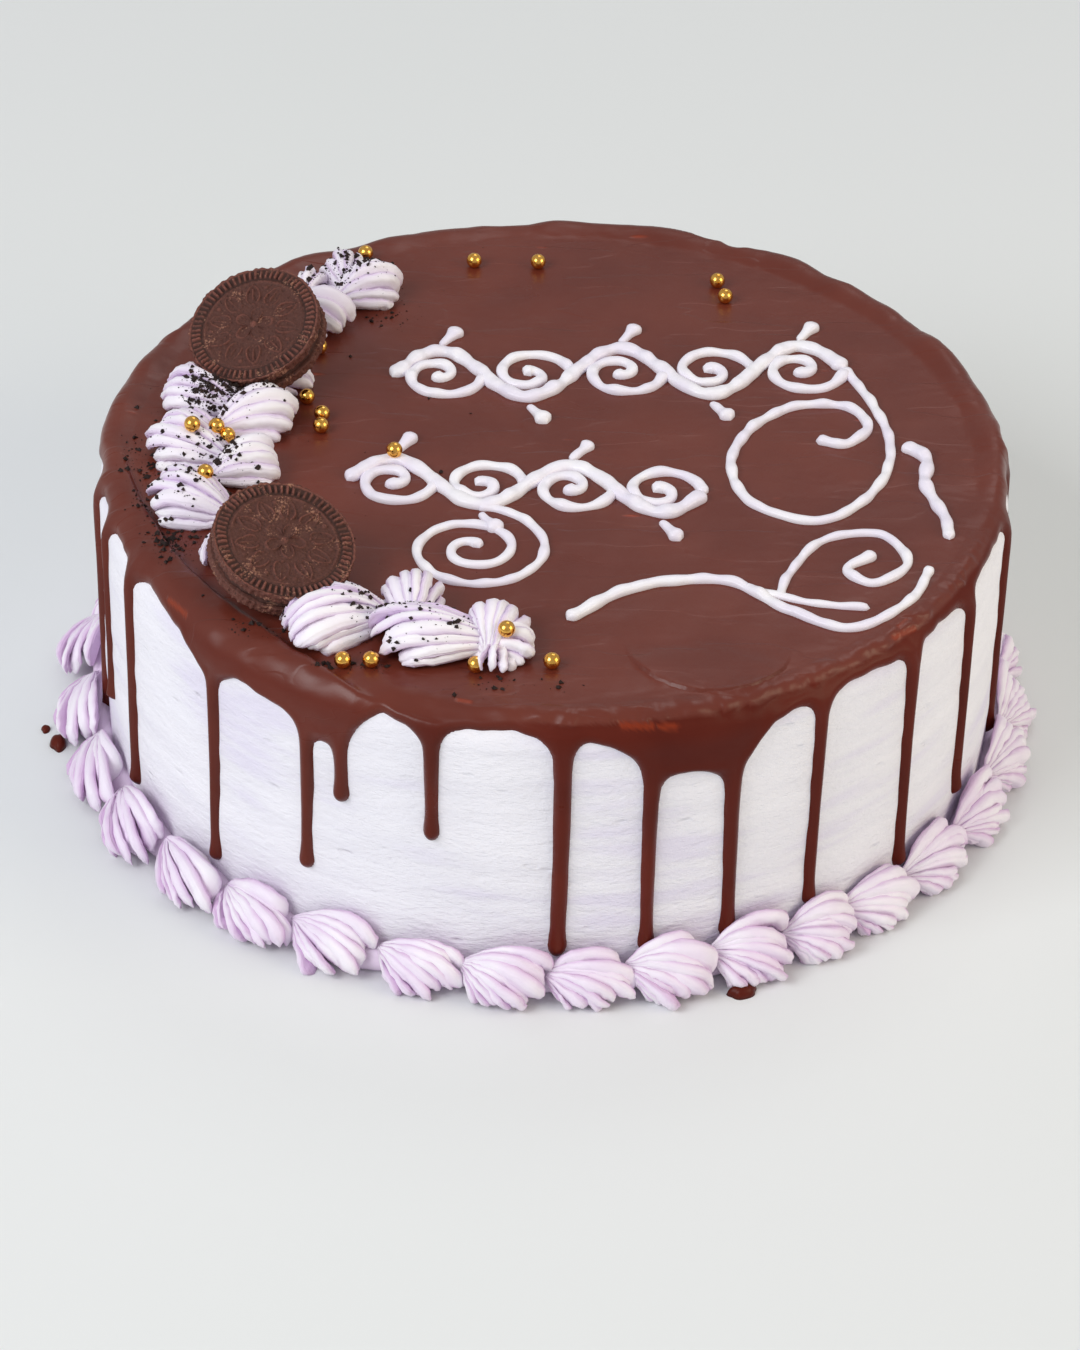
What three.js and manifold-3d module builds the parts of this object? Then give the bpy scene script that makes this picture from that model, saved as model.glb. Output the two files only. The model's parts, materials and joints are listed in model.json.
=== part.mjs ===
// Drip cake: a round frosted cake, uncut, with a chocolate ganache top that runs down the side in drips,
// a border of piped cream shells round its foot, a crescent of piped shells on top with two chocolate
// sandwich biscuits leaning on them, piped scrollwork and gold sugar pearls.
// Millimetres, +Z up. The origin is the middle of the cake's flat base; the front faces -Y.

import * as THREE from 'three';
import { mergeVertices } from 'three/addons/utils/BufferGeometryUtils.js';
import Module from 'manifold-3d';

const wasm = await Module();
wasm.setup();

// ---------------------------------------------------------------- driving dimensions

const GAP = 0.35; // clearance kept between two pieces that touch
const SIMPLIFY = 0.05; // how far a surface may move when faces in one plane are joined
const CAKE = { radius: 147, height: 99, rim: 9, rimSteps: 2, segments: 64 };
const GANACHE = {
  thickness: 1.9, edge: 1.2, // over the top and at the lower edge
  rimEase: 0.95, edgeEase: 0.3, // how much more it clears the frosting inside the rim and at the lower edge
  dripThickness: 2.6, dropLength: 4, // at the middle of a drip, and from its fullest place to its tip
  flank: 4.5, arch: 6, // how wide and how far the edge sags beside a drip
  wideGap: 20, // a window between two drips wide enough for a middle point
  lastRow: 0.93, // share of a short hang that lies above the last row of points
  lastFull: 0.9, bulge: 0.95, // shares of a hang between which it is still of full thickness
};
// Across a drip: place in half widths, share of its thickness, how far its end lies above the tip.
const DRIP_SECTION = [[-0.78, 0.62, 1.6], [0, 1, 0], [0.78, 0.62, 1.6]];
const PEARL_RADIUS = 2.5;
const BISCUIT = {
  radius: 22.5, wafer: 4, filling: 2.8, fillingInset: 1.8, bevel: 0.6,
  tilt: 17, // how far the whole biscuit leans (degrees)
  segments: 32,
};
const SHELL = { ridges: 6, ridgeRise: 0.06, valleyDepth: 0.16, scallop: 0.05, widest: 0.6 };

// Drips that show from the front: angle (degrees), height of the tip, width, and how far past the start
// of the rounded rim the chocolate hangs just after this drip and just before the next one.
const FRONT_DRIPS = [
  [187.0, 19, 4.0, 8, 8],
  [195.8, 28, 4.2, 8, 8],
  [206.2, 19, 4.6, 8, 15],
  [225.3, 19, 4.6, 18, 15],
  [240.0, 29, 5.0, 22, 22],
  [244.7, 60, 4.8, 9, 8],
  [256.3, 53, 4.8, 8, 8],
  [271.7, 19, 6.6, 10, 15],
  [282.4, 19, 4.8, 24, 26],
  [292.6, 19, 5.8, 21, 10],
  [304.1, 19, 4.6, 11, 10],
  [319.4, 19, 5.0, 10, 8],
  [332.7, 20, 4.6, 8, 8],
  [350.1, 19, 4.2, 8, 10],
];
const BACK_DRIPS = { count: 12, sway: 5, tip: [19, 70], width: [4.2, 6.4], hang: [8, 20] };

// Foot border: middle angles of the shells from the left side round the front to the right side,
// and the number of shells that fill the rest of the ring evenly.
const FRONT_SHELLS = [
  173.4, 186.7, 199.2, 211.3, 223.0, 233.5, 244.6, 255.6, 265.6, 275.2,
  285.0, 295.0, 304.4, 313.5, 324.5, 335.6, 347.0, 358.1,
];
const BACK_SHELLS = 15;
const BORDER = { width: 15.5, height: 18, lengthShare: 0.97, tailHeight: 8.5 };

// Crescent on the top: tail point, heading of the fan (degrees), length, width, height, bend (degrees).
const CRESCENT = [
  { name: 'crescent_shell_01', tail: [-113, 18], heading: 128, length: 25, width: 21, height: 13, bend: 18 },
  { name: 'crescent_shell_02', tail: [-107, 22], heading: 28, length: 29, width: 17, height: 12, bend: 6 },
  { name: 'crescent_shell_03', tail: [-108, 3], heading: 18, length: 27, width: 21, height: 14, bend: 12 },
  { name: 'crescent_shell_04', tail: [-113, -4], heading: 162, length: 21, width: 25, height: 13, bend: -8 },
  { name: 'crescent_shell_05', tail: [-107, -25], heading: 24, length: 23, width: 22, height: 13, bend: 10 },
  { name: 'crescent_shell_06', tail: [-105, -39], heading: 170, length: 25, width: 25, height: 13, bend: -9 },
  { name: 'crescent_shell_07', tail: [-84, -60], heading: 190, length: 27, width: 20, height: 13, bend: 0 },
  { name: 'crescent_shell_08', tail: [-52, -108], heading: 162, length: 29, width: 24, height: 14, bend: 0 },
  { name: 'crescent_shell_09', tail: [-41, -102], heading: 97, length: 23, width: 19, height: 14, bend: 0 },
  { name: 'crescent_shell_10', tail: [-17, -114], heading: 184, length: 33, width: 20, height: 13, bend: -8 },
  { name: 'crescent_shell_11', tail: [-9, -118], heading: 106, length: 26, width: 22, height: 13, bend: 8 },
  { name: 'crescent_shell_12', tail: [-72, 83], heading: 24, length: 23, width: 21, height: 13, bend: 10 },
  { name: 'crescent_shell_13', tail: [-74, 91], heading: 96, length: 25, width: 20, height: 13, bend: 0 },
  { name: 'crescent_shell_14', tail: [-90, 78], heading: -24, length: 20, width: 17, height: 13, bend: 0 },
  { name: 'crescent_shell_15', tail: [-90, 88], heading: 120, length: 15, width: 12, height: 10, bend: 0 },
  { name: 'crescent_shell_16', tail: [-108, 40], heading: 50, length: 30, width: 22, height: 16, bend: 0 },
];

// Biscuits: middle of the underside, how far that middle is lifted, and the direction it faces.
const BISCUITS = [
  { name: 'biscuit_1', at: [-97, 41], lift: 10.6, facing: -100 },
  { name: 'biscuit_2', at: [-83, -79], lift: 6.9, facing: -84 },
];

// Gold pearls lying on the chocolate, one on a piped line, and those pressed into a shell of the crescent.
const LOOSE_PEARLS = [
  [-29, 116], [-7, 116], [54.5, 106], [57, 96], [-66.5, 119.5], [-76, 15.5], [-76, 9], [-77, 59],
  [-62.5, -120.5], [-55, -122.5], [-22, -127], [1, -119],
];
const PIPING_PEARL = [-51.5, -7.5];
const PEARL_SINK = 0.85; // height of a pearl's middle over what it lies on, as a share of its radius
const SHELL_PEARLS = [
  { shell: 'crescent_shell_04', at: [-118.5, -1.5], height: 9.5 },
  { shell: 'crescent_shell_03', at: [-104, 4.5], height: 9.5 },
  { shell: 'crescent_shell_05', at: [-103, -25], height: 9 },
  { shell: 'crescent_shell_11', at: [-14, -106], height: 12.5 },
];

// Piped scrollwork on the top: two vines with curled shoots, a spiral, a large oval scroll, a tail.
const VINES = [
  { start: [-54, 43], halfWave: 30, count: 5, rise: 14.5, slope: 2.2 },
  { start: [-66, -19], halfWave: 28.5, count: 4, rise: 12, slope: -1 },
];
const VINE = { width: 4.8, endWidth: 6, stepsPerHalfWave: 4 };
const SHOOT = { width: 3.6, turns: 1.4, inner: 2, taper: 1.45, steps: 11 };
const LEAF = { length: 12, stem: 1.8, tip: 5, lean: 32, clear: 4.2 };
const PIPING = {
  height: 2.6, fullWidth: 4.4, // a line narrower than this is lower in proportion
  sink: 0.4, // how far it reaches into the chocolate
  flat: 0.62, // half width of its top as a share of its own half width
  thin: 3.1, bead: 1.45, // width of the fine scrolls, and how much wider they end
};

const COLOURS = {
  frosting: 0xf1eff4,
  ganache: 0x5f332b,
  cream: 0xe3d9ea,
  wafer: 0x3c2b26,
  filling: 0x2d211e,
};

// ---------------------------------------------------------------- small helpers

const radians = THREE.MathUtils.degToRad;
const topZ = CAKE.height + GAP + GANACHE.thickness;
const rimArc = CAKE.rim * Math.PI / 2;

// A repeatable random source, so each build is the same.
function randomSource(seed) {
  let state = seed;
  return () => {
    state = (state * 1664525 + 1013904223) % 4294967296;
    return state / 4294967296;
  };
}

const between = (random, [low, high]) => low + (high - low) * random();

// A point over the cake's rounded rim: `along` runs outward from where the flat top ends and on down the
// side, `out` is the distance off the frosting.
function overRim(angle, along, out) {
  const turn = Math.min(Math.max(along / CAKE.rim, 0), Math.PI / 2);
  const reach = (CAKE.rim + out) * Math.sin(turn) + Math.min(along, 0);
  const radius = CAKE.radius - CAKE.rim + reach;
  const fall = Math.max(along - rimArc, 0);
  const z = CAKE.height - CAKE.rim + (CAKE.rim + out) * Math.cos(turn) - fall;
  return new THREE.Vector3(radius * Math.cos(angle), radius * Math.sin(angle), z);
}

// A closed surface through rings of points, its two ends drawn together at a pole.
function loft(rings, startPole, endPole) {
  const sides = rings[0].length;
  const points = [startPole, ...rings.flat(), endPole];
  const last = points.length - 1;
  const faces = [];
  for (let i = 0; i < sides; i += 1) {
    const j = (i + 1) % sides;
    faces.push(0, 1 + j, 1 + i);
    for (let k = 0; k < rings.length - 1; k += 1) {
      const a = 1 + k * sides;
      const b = a + sides;
      faces.push(a + i, a + j, b + j, a + i, b + j, b + i);
    }
    const end = 1 + (rings.length - 1) * sides;
    faces.push(last, end + i, end + j);
  }
  return outward(points, faces);
}

// Turns the faces round if the closed surface encloses a negative volume.
function outward(points, faces) {
  let volume = 0;
  for (let k = 0; k < faces.length; k += 3) {
    const [a, b, c] = [points[faces[k]], points[faces[k + 1]], points[faces[k + 2]]];
    volume += a.dot(new THREE.Vector3().crossVectors(b, c));
  }
  const ordered = volume < 0 ? faces.reverse() : faces;
  const geometry = new THREE.BufferGeometry().setFromPoints(points);
  geometry.setIndex(ordered);
  return geometry;
}

function toSolid(geometry) {
  const plain = geometry.clone();
  plain.deleteAttribute('normal');
  plain.deleteAttribute('uv');
  const merged = mergeVertices(plain, 1e-4);
  const vertProperties = new Float32Array(merged.attributes.position.array);
  const triVerts = new Uint32Array(merged.index.array);
  return new wasm.Manifold(new wasm.Mesh({ numProp: 3, vertProperties, triVerts }));
}

function toGeometry(solid) {
  const mesh = solid.getMesh();
  const geometry = new THREE.BufferGeometry();
  geometry.setAttribute('position', new THREE.BufferAttribute(new Float32Array(mesh.vertProperties), 3));
  geometry.setIndex(Array.from(mesh.triVerts));
  return geometry;
}

const unite = (solids) => solids.reduce((whole, solid) => whole.add(solid));

// ---------------------------------------------------------------- frosted body

// The uncut cake under its frosting: a flat-based round with a rounded upper rim.
function bodyGeometry() {
  const { radius, height, rim, rimSteps, segments } = CAKE;
  const profile = [new THREE.Vector2(0, 0), new THREE.Vector2(radius, 0)];
  for (let i = 0; i <= rimSteps; i += 1) {
    const turn = (Math.PI / 2) * (i / rimSteps);
    profile.push(new THREE.Vector2(radius - rim + rim * Math.cos(turn), height - rim + rim * Math.sin(turn)));
  }
  profile.push(new THREE.Vector2(0, height));
  return new THREE.LatheGeometry(profile, segments).rotateX(Math.PI / 2);
}

// ---------------------------------------------------------------- ganache

// All drips round the cake: the ones seen from the front, then the back ones by a seeded rule.
function dripList() {
  const random = randomSource(41);
  const drips = FRONT_DRIPS.map(([angle, tip, width, hangFrom, hangTo]) => (
    { angle, tip, width, hangFrom, hangTo }
  ));
  const first = drips[0].angle + 360;
  const last = drips.at(-1).angle;
  const step = (first - last) / (BACK_DRIPS.count + 1);
  for (let i = 1; i <= BACK_DRIPS.count; i += 1) {
    drips.push({
      angle: last + step * i + BACK_DRIPS.sway * (random() - 0.5),
      tip: between(random, BACK_DRIPS.tip),
      width: between(random, BACK_DRIPS.width),
      hangFrom: between(random, BACK_DRIPS.hang),
      hangTo: between(random, BACK_DRIPS.hang),
    });
  }
  return drips;
}

// The chocolate's lower edge as columns round the cake: beside each drip it sags, between two drips it
// arches up, and in a drip it runs down to the tip. `drop` is where the drop at the end of a drip is fullest.
function skirtColumns(drips) {
  const toTurn = (distance) => distance / CAKE.radius;
  const columns = [];
  drips.forEach((drip, i) => {
    const next = drips[(i + 1) % drips.length];
    const angle = radians(drip.angle);
    const nextAngle = radians(next.angle + (i + 1 === drips.length ? 360 : 0));
    const tip = rimArc + CAKE.height - CAKE.rim - drip.tip;
    DRIP_SECTION.forEach(([side, full, lift]) => {
      const turn = angle + toTurn(side * drip.width / 2);
      const dropOut = full * GANACHE.dripThickness;
      const drop = tip - GANACHE.dropLength;
      columns.push({ angle: turn, along: tip - lift, out: 0.5 * dropOut, drop, dropOut });
    });
    const left = angle + toTurn(drip.width / 2);
    const right = nextAngle - toTurn(next.width / 2);
    const flank = Math.min(toTurn(GANACHE.flank), 0.3 * (right - left));
    const windowEdge = (turn, along) => {
      const lowest = GANACHE.bulge * along;
      const drop = Math.min(Math.max((rimArc + along) / 2, GANACHE.lastFull * along), lowest);
      columns.push({ angle: turn, along, out: GANACHE.edge, drop, dropOut: GANACHE.thickness });
    };
    windowEdge(left, drip.hangFrom + GANACHE.arch);
    windowEdge(left + flank, drip.hangFrom);
    if (right - left > toTurn(GANACHE.wideGap)) {
      windowEdge((left + right) / 2, (drip.hangFrom + drip.hangTo) / 2);
    }
    windowEdge(right - flank, drip.hangTo);
    windowEdge(right, drip.hangTo + GANACHE.arch);
  });
  return columns;
}

// The skin of chocolate over the top and the rim, down to its wavy edge and the tips of the drips.
function skinGeometry(drips) {
  const columns = skirtColumns(drips);
  const rows = CAKE.rimSteps + 1;
  const rimRow = (k, out) => columns.map(({ angle, along }) => (
    overRim(angle, (k / CAKE.rimSteps) * Math.min(rimArc, along * GANACHE.lastRow), out)
  ));
  const rings = [];
  for (let k = 0; k < rows; k += 1) rings.push(rimRow(k, GAP + GANACHE.thickness));
  rings.push(columns.map(({ angle, drop, dropOut }) => overRim(angle, drop, GAP + dropOut)));
  rings.push(columns.map(({ angle, along, out }) => overRim(angle, along, GAP + out)));
  rings.push(columns.map(({ angle, along }) => overRim(angle, along, GAP + GANACHE.edgeEase)));
  for (let k = rows - 1; k > 0; k -= 1) rings.push(rimRow(k, GAP + GANACHE.rimEase));
  rings.push(rimRow(0, GAP));
  return loft(rings, new THREE.Vector3(0, 0, topZ), new THREE.Vector3(0, 0, CAKE.height + GAP));
}

// ---------------------------------------------------------------- piping and pearls

// A piped line on the top: flat below, round above, along `path` (a list of [x, y, width]).
function strokeGeometry(path) {
  const { height, fullWidth, sink, flat } = PIPING;
  const section = [[-1, 0], [-flat, 1], [flat, 1], [1, 0]];
  const last = path.length - 1;
  const rings = path.map(([x, y, width], i) => {
    const before = path[Math.max(i - 1, 0)];
    const after = path[Math.min(i + 1, last)];
    const heading = new THREE.Vector2(after[0] - before[0], after[1] - before[1]).normalize();
    const half = width / 2;
    const rise = sink + height * Math.min(1, width / fullWidth);
    return section.map(([side, up]) => new THREE.Vector3(
      x - heading.y * side * half,
      y + heading.x * side * half,
      topZ - sink + up * rise,
    ));
  });
  const cap = ([x, y, width], from) => {
    const away = new THREE.Vector2(x - from[0], y - from[1]).setLength(0.35 * width);
    return new THREE.Vector3(x + away.x, y + away.y, topZ + 0.3 * height);
  };
  return loft(rings, cap(path[0], path[1]), cap(path[last], path[last - 1]));
}

// Points along a smooth curve through a few places, with the width going from one value to another.
function flowingPath(places, steps, widthFrom, widthTo) {
  const knots = places.map(([x, y]) => new THREE.Vector3(x, y, 0));
  const curve = new THREE.CatmullRomCurve3(knots, false, 'centripetal');
  return curve.getSpacedPoints(steps).map((point, i) => (
    [point.x, point.y, THREE.MathUtils.lerp(widthFrom, widthTo, i / steps)]
  ));
}

// Points along a spiral: the radius shrinks evenly as the angle turns.
function spiralPath({ middle, radii, from, turns, inner, steps }) {
  const path = [];
  for (let i = 0; i <= steps; i += 1) {
    const share = i / steps;
    const turn = radians(from + 360 * turns * share);
    const scale = 1 + (inner - 1) * share;
    const x = middle[0] + radii[0] * scale * Math.cos(turn);
    const y = middle[1] + radii[1] * scale * Math.sin(turn);
    path.push([x, y, PIPING.thin * (i === steps ? PIPING.bead : 1)]);
  }
  return path;
}

// A shoot of a vine: it leaves the vine where that crosses its middle line and curls up in the hollow,
// the radius shrinking faster at first.
function shootPath(x, y, side, reach) {
  const path = [];
  for (let i = 0; i <= SHOOT.steps; i += 1) {
    const share = i / SHOOT.steps;
    const turn = -2 * Math.PI * SHOOT.turns * share;
    const radius = reach * (1 - share) ** SHOOT.taper + SHOOT.inner;
    const width = SHOOT.width * (i === SHOOT.steps ? PIPING.bead : 1);
    path.push([x + radius * Math.cos(turn), y + side * (radius * Math.sin(turn) + share), width]);
  }
  return path;
}

// A vine: half waves to either side of a straight line, a curled shoot in each hollow, a leaf outside it.
function vinePaths({ start, halfWave, count, rise, slope }) {
  const steps = count * VINE.stepsPerHalfWave;
  const lineY = (x) => start[1] + (slope * (x - start[0])) / halfWave;
  const vine = [];
  for (let i = 0; i <= steps; i += 1) {
    const x = start[0] + (halfWave * count * i) / steps;
    const wave = Math.sin((Math.PI * (x - start[0])) / halfWave);
    vine.push([x, lineY(x) + rise * wave, i === 0 || i === steps ? VINE.endWidth : VINE.width]);
  }
  const paths = [vine];
  for (let i = 0; i < count; i += 1) {
    const side = i % 2 ? -1 : 1;
    const x = start[0] + halfWave * (i + 0.5);
    paths.push(shootPath(x, lineY(x), side, halfWave / 2 - SHOOT.inner));
    const heading = radians(side * (90 - LEAF.lean));
    const foot = [x, lineY(x) + side * (rise + LEAF.clear)];
    const tip = [foot[0] + LEAF.length * Math.cos(heading), foot[1] + LEAF.length * Math.sin(heading)];
    paths.push([[...foot, LEAF.stem], [...tip, LEAF.tip]]);
  }
  return paths;
}

function flourishPaths() {
  return [
    spiralPath({ middle: [-25, -57], radii: [25, 24], from: 88, turns: -2.15, inner: 0.1, steps: 22 }),
    flowingPath([
      [96, 54], [104, 34], [109, 8], [103, -18], [84, -37], [63, -27], [57, -4],
      [65, 18], [80, 31], [97, 30], [102, 18], [94, 8], [85, 10],
    ], 24, 3.2, 3.6),
    flowingPath([[113, 8], [120, 1], [119, -15], [124, -32], [125, -45]], 5, 4.8, 3.4),
    flowingPath([[5, -94], [26, -76], [54, -71], [73, -86], [92, -95], [111, -79], [118, -62]], 12, 4.2, 3),
    flowingPath([[59, -74], [80, -82], [98, -84]], 4, 2.8, 2.6),
    flowingPath([
      [72, -70], [86, -47], [104, -44], [111, -60], [99, -71], [92, -64], [101, -55],
    ], 10, 2.8, 3.4),
  ];
}

function pearlGeometry(x, y, z) {
  return new THREE.OctahedronGeometry(PEARL_RADIUS, 1).translate(x, y, z);
}

// The chocolate with its drips, and what is piped on it or lies on it, as one solid.
function ganacheGeometry() {
  const drips = dripList();
  const strokes = [...VINES.flatMap(vinePaths), ...flourishPaths()];
  const restZ = topZ + PEARL_SINK * PEARL_RADIUS;
  const pieces = [
    skinGeometry(drips),
    ...strokes.map(strokeGeometry),
    ...LOOSE_PEARLS.map(([x, y]) => pearlGeometry(x, y, restZ)),
    pearlGeometry(PIPING_PEARL[0], PIPING_PEARL[1], restZ + PIPING.height - PIPING.sink),
  ];
  return toGeometry(unite(pieces.map(toSolid)).simplify(SIMPLIFY));
}

// ---------------------------------------------------------------- piped shells

// How full a shell is along its length: a point at the tail, widest past the middle, a round head.
function fullness(share) {
  if (share < SHELL.widest) return Math.sin((Math.PI / 2) * (share / SHELL.widest)) ** 0.85;
  const past = (share - SHELL.widest) / (1 - SHELL.widest);
  return Math.sqrt(Math.max(1 - past * past, 0));
}

// A star-nozzle shell: ridges fan out from the tail and end in round tongues at the head.
// `section(share, side, up)` gives a point's sideways and upward place from unit-circle values.
function shellGeometry(length, section, place) {
  const shares = [0.18, 0.42, 0.68, 0.9];
  const sides = SHELL.ridges * 2;
  const rings = shares.map((share) => {
    const full = fullness(share);
    const ring = [];
    for (let k = 0; k < sides; k += 1) {
      const ridge = k % 2 === 0;
      const turn = (2 * Math.PI * k) / sides + Math.PI / 2;
      const star = full * (ridge ? 1 + SHELL.ridgeRise : 1 - SHELL.valleyDepth);
      const along = length * (share + (ridge ? 1 : -1) * SHELL.scallop * share);
      const [side, up] = section(share, star * Math.cos(turn), star * Math.sin(turn));
      ring.push(place(along, side, up));
    }
    return ring;
  });
  const pole = (share) => place(length * share, ...section(share, 0, 0));
  return loft(rings, pole(0), pole(1));
}

// A shell of the foot border, leaning on the side of the cake and on what the cake stands on.
function borderShellGeometry(middleAngle, length) {
  const { width, height, tailHeight } = BORDER;
  const start = radians(middleAngle) - length / 2 / (CAKE.radius + width / 2);
  const section = (share, side, up) => {
    const centreZ = THREE.MathUtils.lerp(tailHeight, height * 0.42, Math.min(share / 0.5, 1));
    return [width * 0.4 - side * width * 0.6, centreZ + up * height * 0.58];
  };
  const place = (along, side, up) => {
    const radius = CAKE.radius + Math.max(side, GAP);
    const turn = start + along / (CAKE.radius + width / 2);
    return new THREE.Vector3(radius * Math.cos(turn), radius * Math.sin(turn), Math.max(up, 0));
  };
  return shellGeometry(length, section, place);
}

// A shell of the crescent, lying on the chocolate.
function crescentShellGeometry({ tail, heading, length, width, height, bend }) {
  const section = (share, side, up) => {
    const centreZ = THREE.MathUtils.lerp(height * 0.3, height * 0.36, share);
    return [side * width * 0.5, centreZ + up * height * 0.6];
  };
  const place = (along, side, up) => {
    const turn = radians(heading + bend * (along / length - 0.5));
    const x = tail[0] + along * Math.cos(turn) - side * Math.sin(turn);
    const y = tail[1] + along * Math.sin(turn) + side * Math.cos(turn);
    return new THREE.Vector3(x, y, topZ + GAP + Math.max(up, 0));
  };
  return shellGeometry(length, section, place);
}

// Middle angle and length of each border shell.
function borderList() {
  const span = FRONT_SHELLS[0] + 360 - FRONT_SHELLS.at(-1);
  const middles = [...FRONT_SHELLS];
  for (let i = 1; i <= BACK_SHELLS; i += 1) {
    middles.push(FRONT_SHELLS.at(-1) + (span * i) / (BACK_SHELLS + 1));
  }
  const count = middles.length;
  return middles.map((angle, i) => {
    const before = i === 0 ? middles[count - 1] - 360 : middles[i - 1];
    const after = i === count - 1 ? middles[0] + 360 : middles[i + 1];
    const pitch = Math.min(angle - before, after - angle);
    const length = radians(pitch) * (CAKE.radius + BORDER.width / 2) * BORDER.lengthShare;
    return { angle, length };
  });
}

// ---------------------------------------------------------------- biscuits

function discGeometry(radius, thickness, bevel) {
  const lower = bevel ? [[radius - bevel, 0], [radius, bevel]] : [[radius, 0]];
  const upper = bevel ? [[radius, thickness - bevel], [radius - bevel, thickness]] : [[radius, thickness]];
  const points = [[0, 0], ...lower, ...upper, [0, thickness]].map(([x, y]) => new THREE.Vector2(x, y));
  return new THREE.LatheGeometry(points, BISCUIT.segments).rotateX(Math.PI / 2);
}

// Places a biscuit: its underside's middle is lifted and the whole leans towards `facing`.
function biscuitMatrix({ at, lift, facing }) {
  const lean = new THREE.Vector3(-Math.sin(radians(facing)), Math.cos(radians(facing)), 0);
  const turn = new THREE.Quaternion().setFromAxisAngle(lean, radians(BISCUIT.tilt));
  const where = new THREE.Vector3(at[0], at[1], topZ + lift);
  return new THREE.Matrix4().compose(where, turn, new THREE.Vector3(1, 1, 1));
}

function biscuitParts(biscuit) {
  const { radius, wafer, filling, fillingInset, bevel } = BISCUIT;
  const matrix = biscuitMatrix(biscuit);
  const part = (suffix, kind, height, geometry) => ({
    name: `${biscuit.name}_${suffix}`,
    kind,
    geometry: geometry.translate(0, 0, height).applyMatrix4(matrix),
  });
  return [
    part('base_wafer', 'wafer', 0, discGeometry(radius, wafer, bevel)),
    part('filling', 'filling', wafer + GAP, discGeometry(radius - fillingInset, filling - 2 * GAP, 0)),
    part('top_wafer', 'wafer', wafer + filling, discGeometry(radius, wafer, bevel)),
  ];
}

// The room a biscuit takes, with its clearance, to press into the shells under it.
function biscuitRoom(biscuit) {
  const { radius, wafer, filling } = BISCUIT;
  const room = discGeometry(radius + GAP, 2 * wafer + filling + 2 * GAP, 0).translate(0, 0, -GAP);
  return toSolid(room.applyMatrix4(biscuitMatrix(biscuit)));
}

// ---------------------------------------------------------------- the cake

const materials = {
  frosting: new THREE.MeshStandardMaterial({ color: COLOURS.frosting, roughness: 0.62, metalness: 0 }),
  ganache: new THREE.MeshStandardMaterial({ color: COLOURS.ganache, roughness: 0.34, metalness: 0 }),
  cream: new THREE.MeshStandardMaterial({ color: COLOURS.cream, roughness: 0.55, metalness: 0 }),
  wafer: new THREE.MeshStandardMaterial({ color: COLOURS.wafer, roughness: 0.85, metalness: 0 }),
  filling: new THREE.MeshStandardMaterial({ color: COLOURS.filling, roughness: 0.8, metalness: 0 }),
};

const cake = new THREE.Group();

function addPiece(name, geometry, kind) {
  const mesh = new THREE.Mesh(geometry, materials[kind].clone());
  mesh.name = name;
  cake.add(mesh);
}

addPiece('cake_body', bodyGeometry(), 'frosting');
addPiece('ganache', ganacheGeometry(), 'ganache');

borderList().forEach(({ angle, length }, i) => {
  addPiece(`border_shell_${String(i + 1).padStart(2, '0')}`, borderShellGeometry(angle, length), 'cream');
});

const rooms = unite(BISCUITS.map(biscuitRoom));
CRESCENT.forEach((shell) => {
  let solid = toSolid(crescentShellGeometry(shell));
  SHELL_PEARLS.filter((pearl) => pearl.shell === shell.name).forEach(({ at, height }) => {
    solid = solid.add(toSolid(pearlGeometry(at[0], at[1], topZ + height)));
  });
  addPiece(shell.name, toGeometry(solid.subtract(rooms).simplify(SIMPLIFY)), 'cream');
});

BISCUITS.flatMap(biscuitParts).forEach(({ name, geometry, kind }) => addPiece(name, geometry, kind));

export default cake;
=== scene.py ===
"""Looks of the drip cake: frosting, chocolate, piped cream, scrollwork, pearls, biscuits and crumbs.

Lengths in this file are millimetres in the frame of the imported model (origin at the middle of the flat base,
+Z up, front towards -Y) and are turned to metres when a mesh is made. Angles in the tables are degrees round
the cake, from +X towards +Y, so that 270 is the front.
"""

import json
import math
from functools import partial

import bpy
import numpy as np
from mathutils import Matrix, Vector
from mathutils.bvhtree import BVHTree

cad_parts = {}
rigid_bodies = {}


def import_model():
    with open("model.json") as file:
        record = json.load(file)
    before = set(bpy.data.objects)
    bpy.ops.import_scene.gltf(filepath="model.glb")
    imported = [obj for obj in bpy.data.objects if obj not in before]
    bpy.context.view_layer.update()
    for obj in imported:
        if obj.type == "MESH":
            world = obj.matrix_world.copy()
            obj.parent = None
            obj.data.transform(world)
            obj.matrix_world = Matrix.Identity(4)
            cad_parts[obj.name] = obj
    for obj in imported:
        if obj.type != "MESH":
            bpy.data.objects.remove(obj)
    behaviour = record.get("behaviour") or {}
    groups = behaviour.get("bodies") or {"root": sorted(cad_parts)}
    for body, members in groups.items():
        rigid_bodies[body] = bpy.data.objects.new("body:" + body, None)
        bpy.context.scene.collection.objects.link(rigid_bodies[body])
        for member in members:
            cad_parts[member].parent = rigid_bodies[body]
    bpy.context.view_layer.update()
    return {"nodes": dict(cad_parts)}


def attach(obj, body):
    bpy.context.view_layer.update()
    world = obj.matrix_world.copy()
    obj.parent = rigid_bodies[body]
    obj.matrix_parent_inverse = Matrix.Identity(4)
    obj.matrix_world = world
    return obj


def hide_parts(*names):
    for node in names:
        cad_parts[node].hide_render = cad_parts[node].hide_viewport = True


bl_info = {
    "name": "Drip Cake",
    "version": (1, 0, 0),
    "blender": (4, 5, 0),
    "location": "3D View > Sidebar > Cake",
    "description": "Frosted cake with chocolate drips, piped cream, scrollwork, pearls and biscuits",
    "category": "Add Mesh",
}

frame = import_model()

MM = 0.001
TAU = 2 * math.pi

# ------------------------------------------------------------------ sizes shared with the solids

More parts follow.
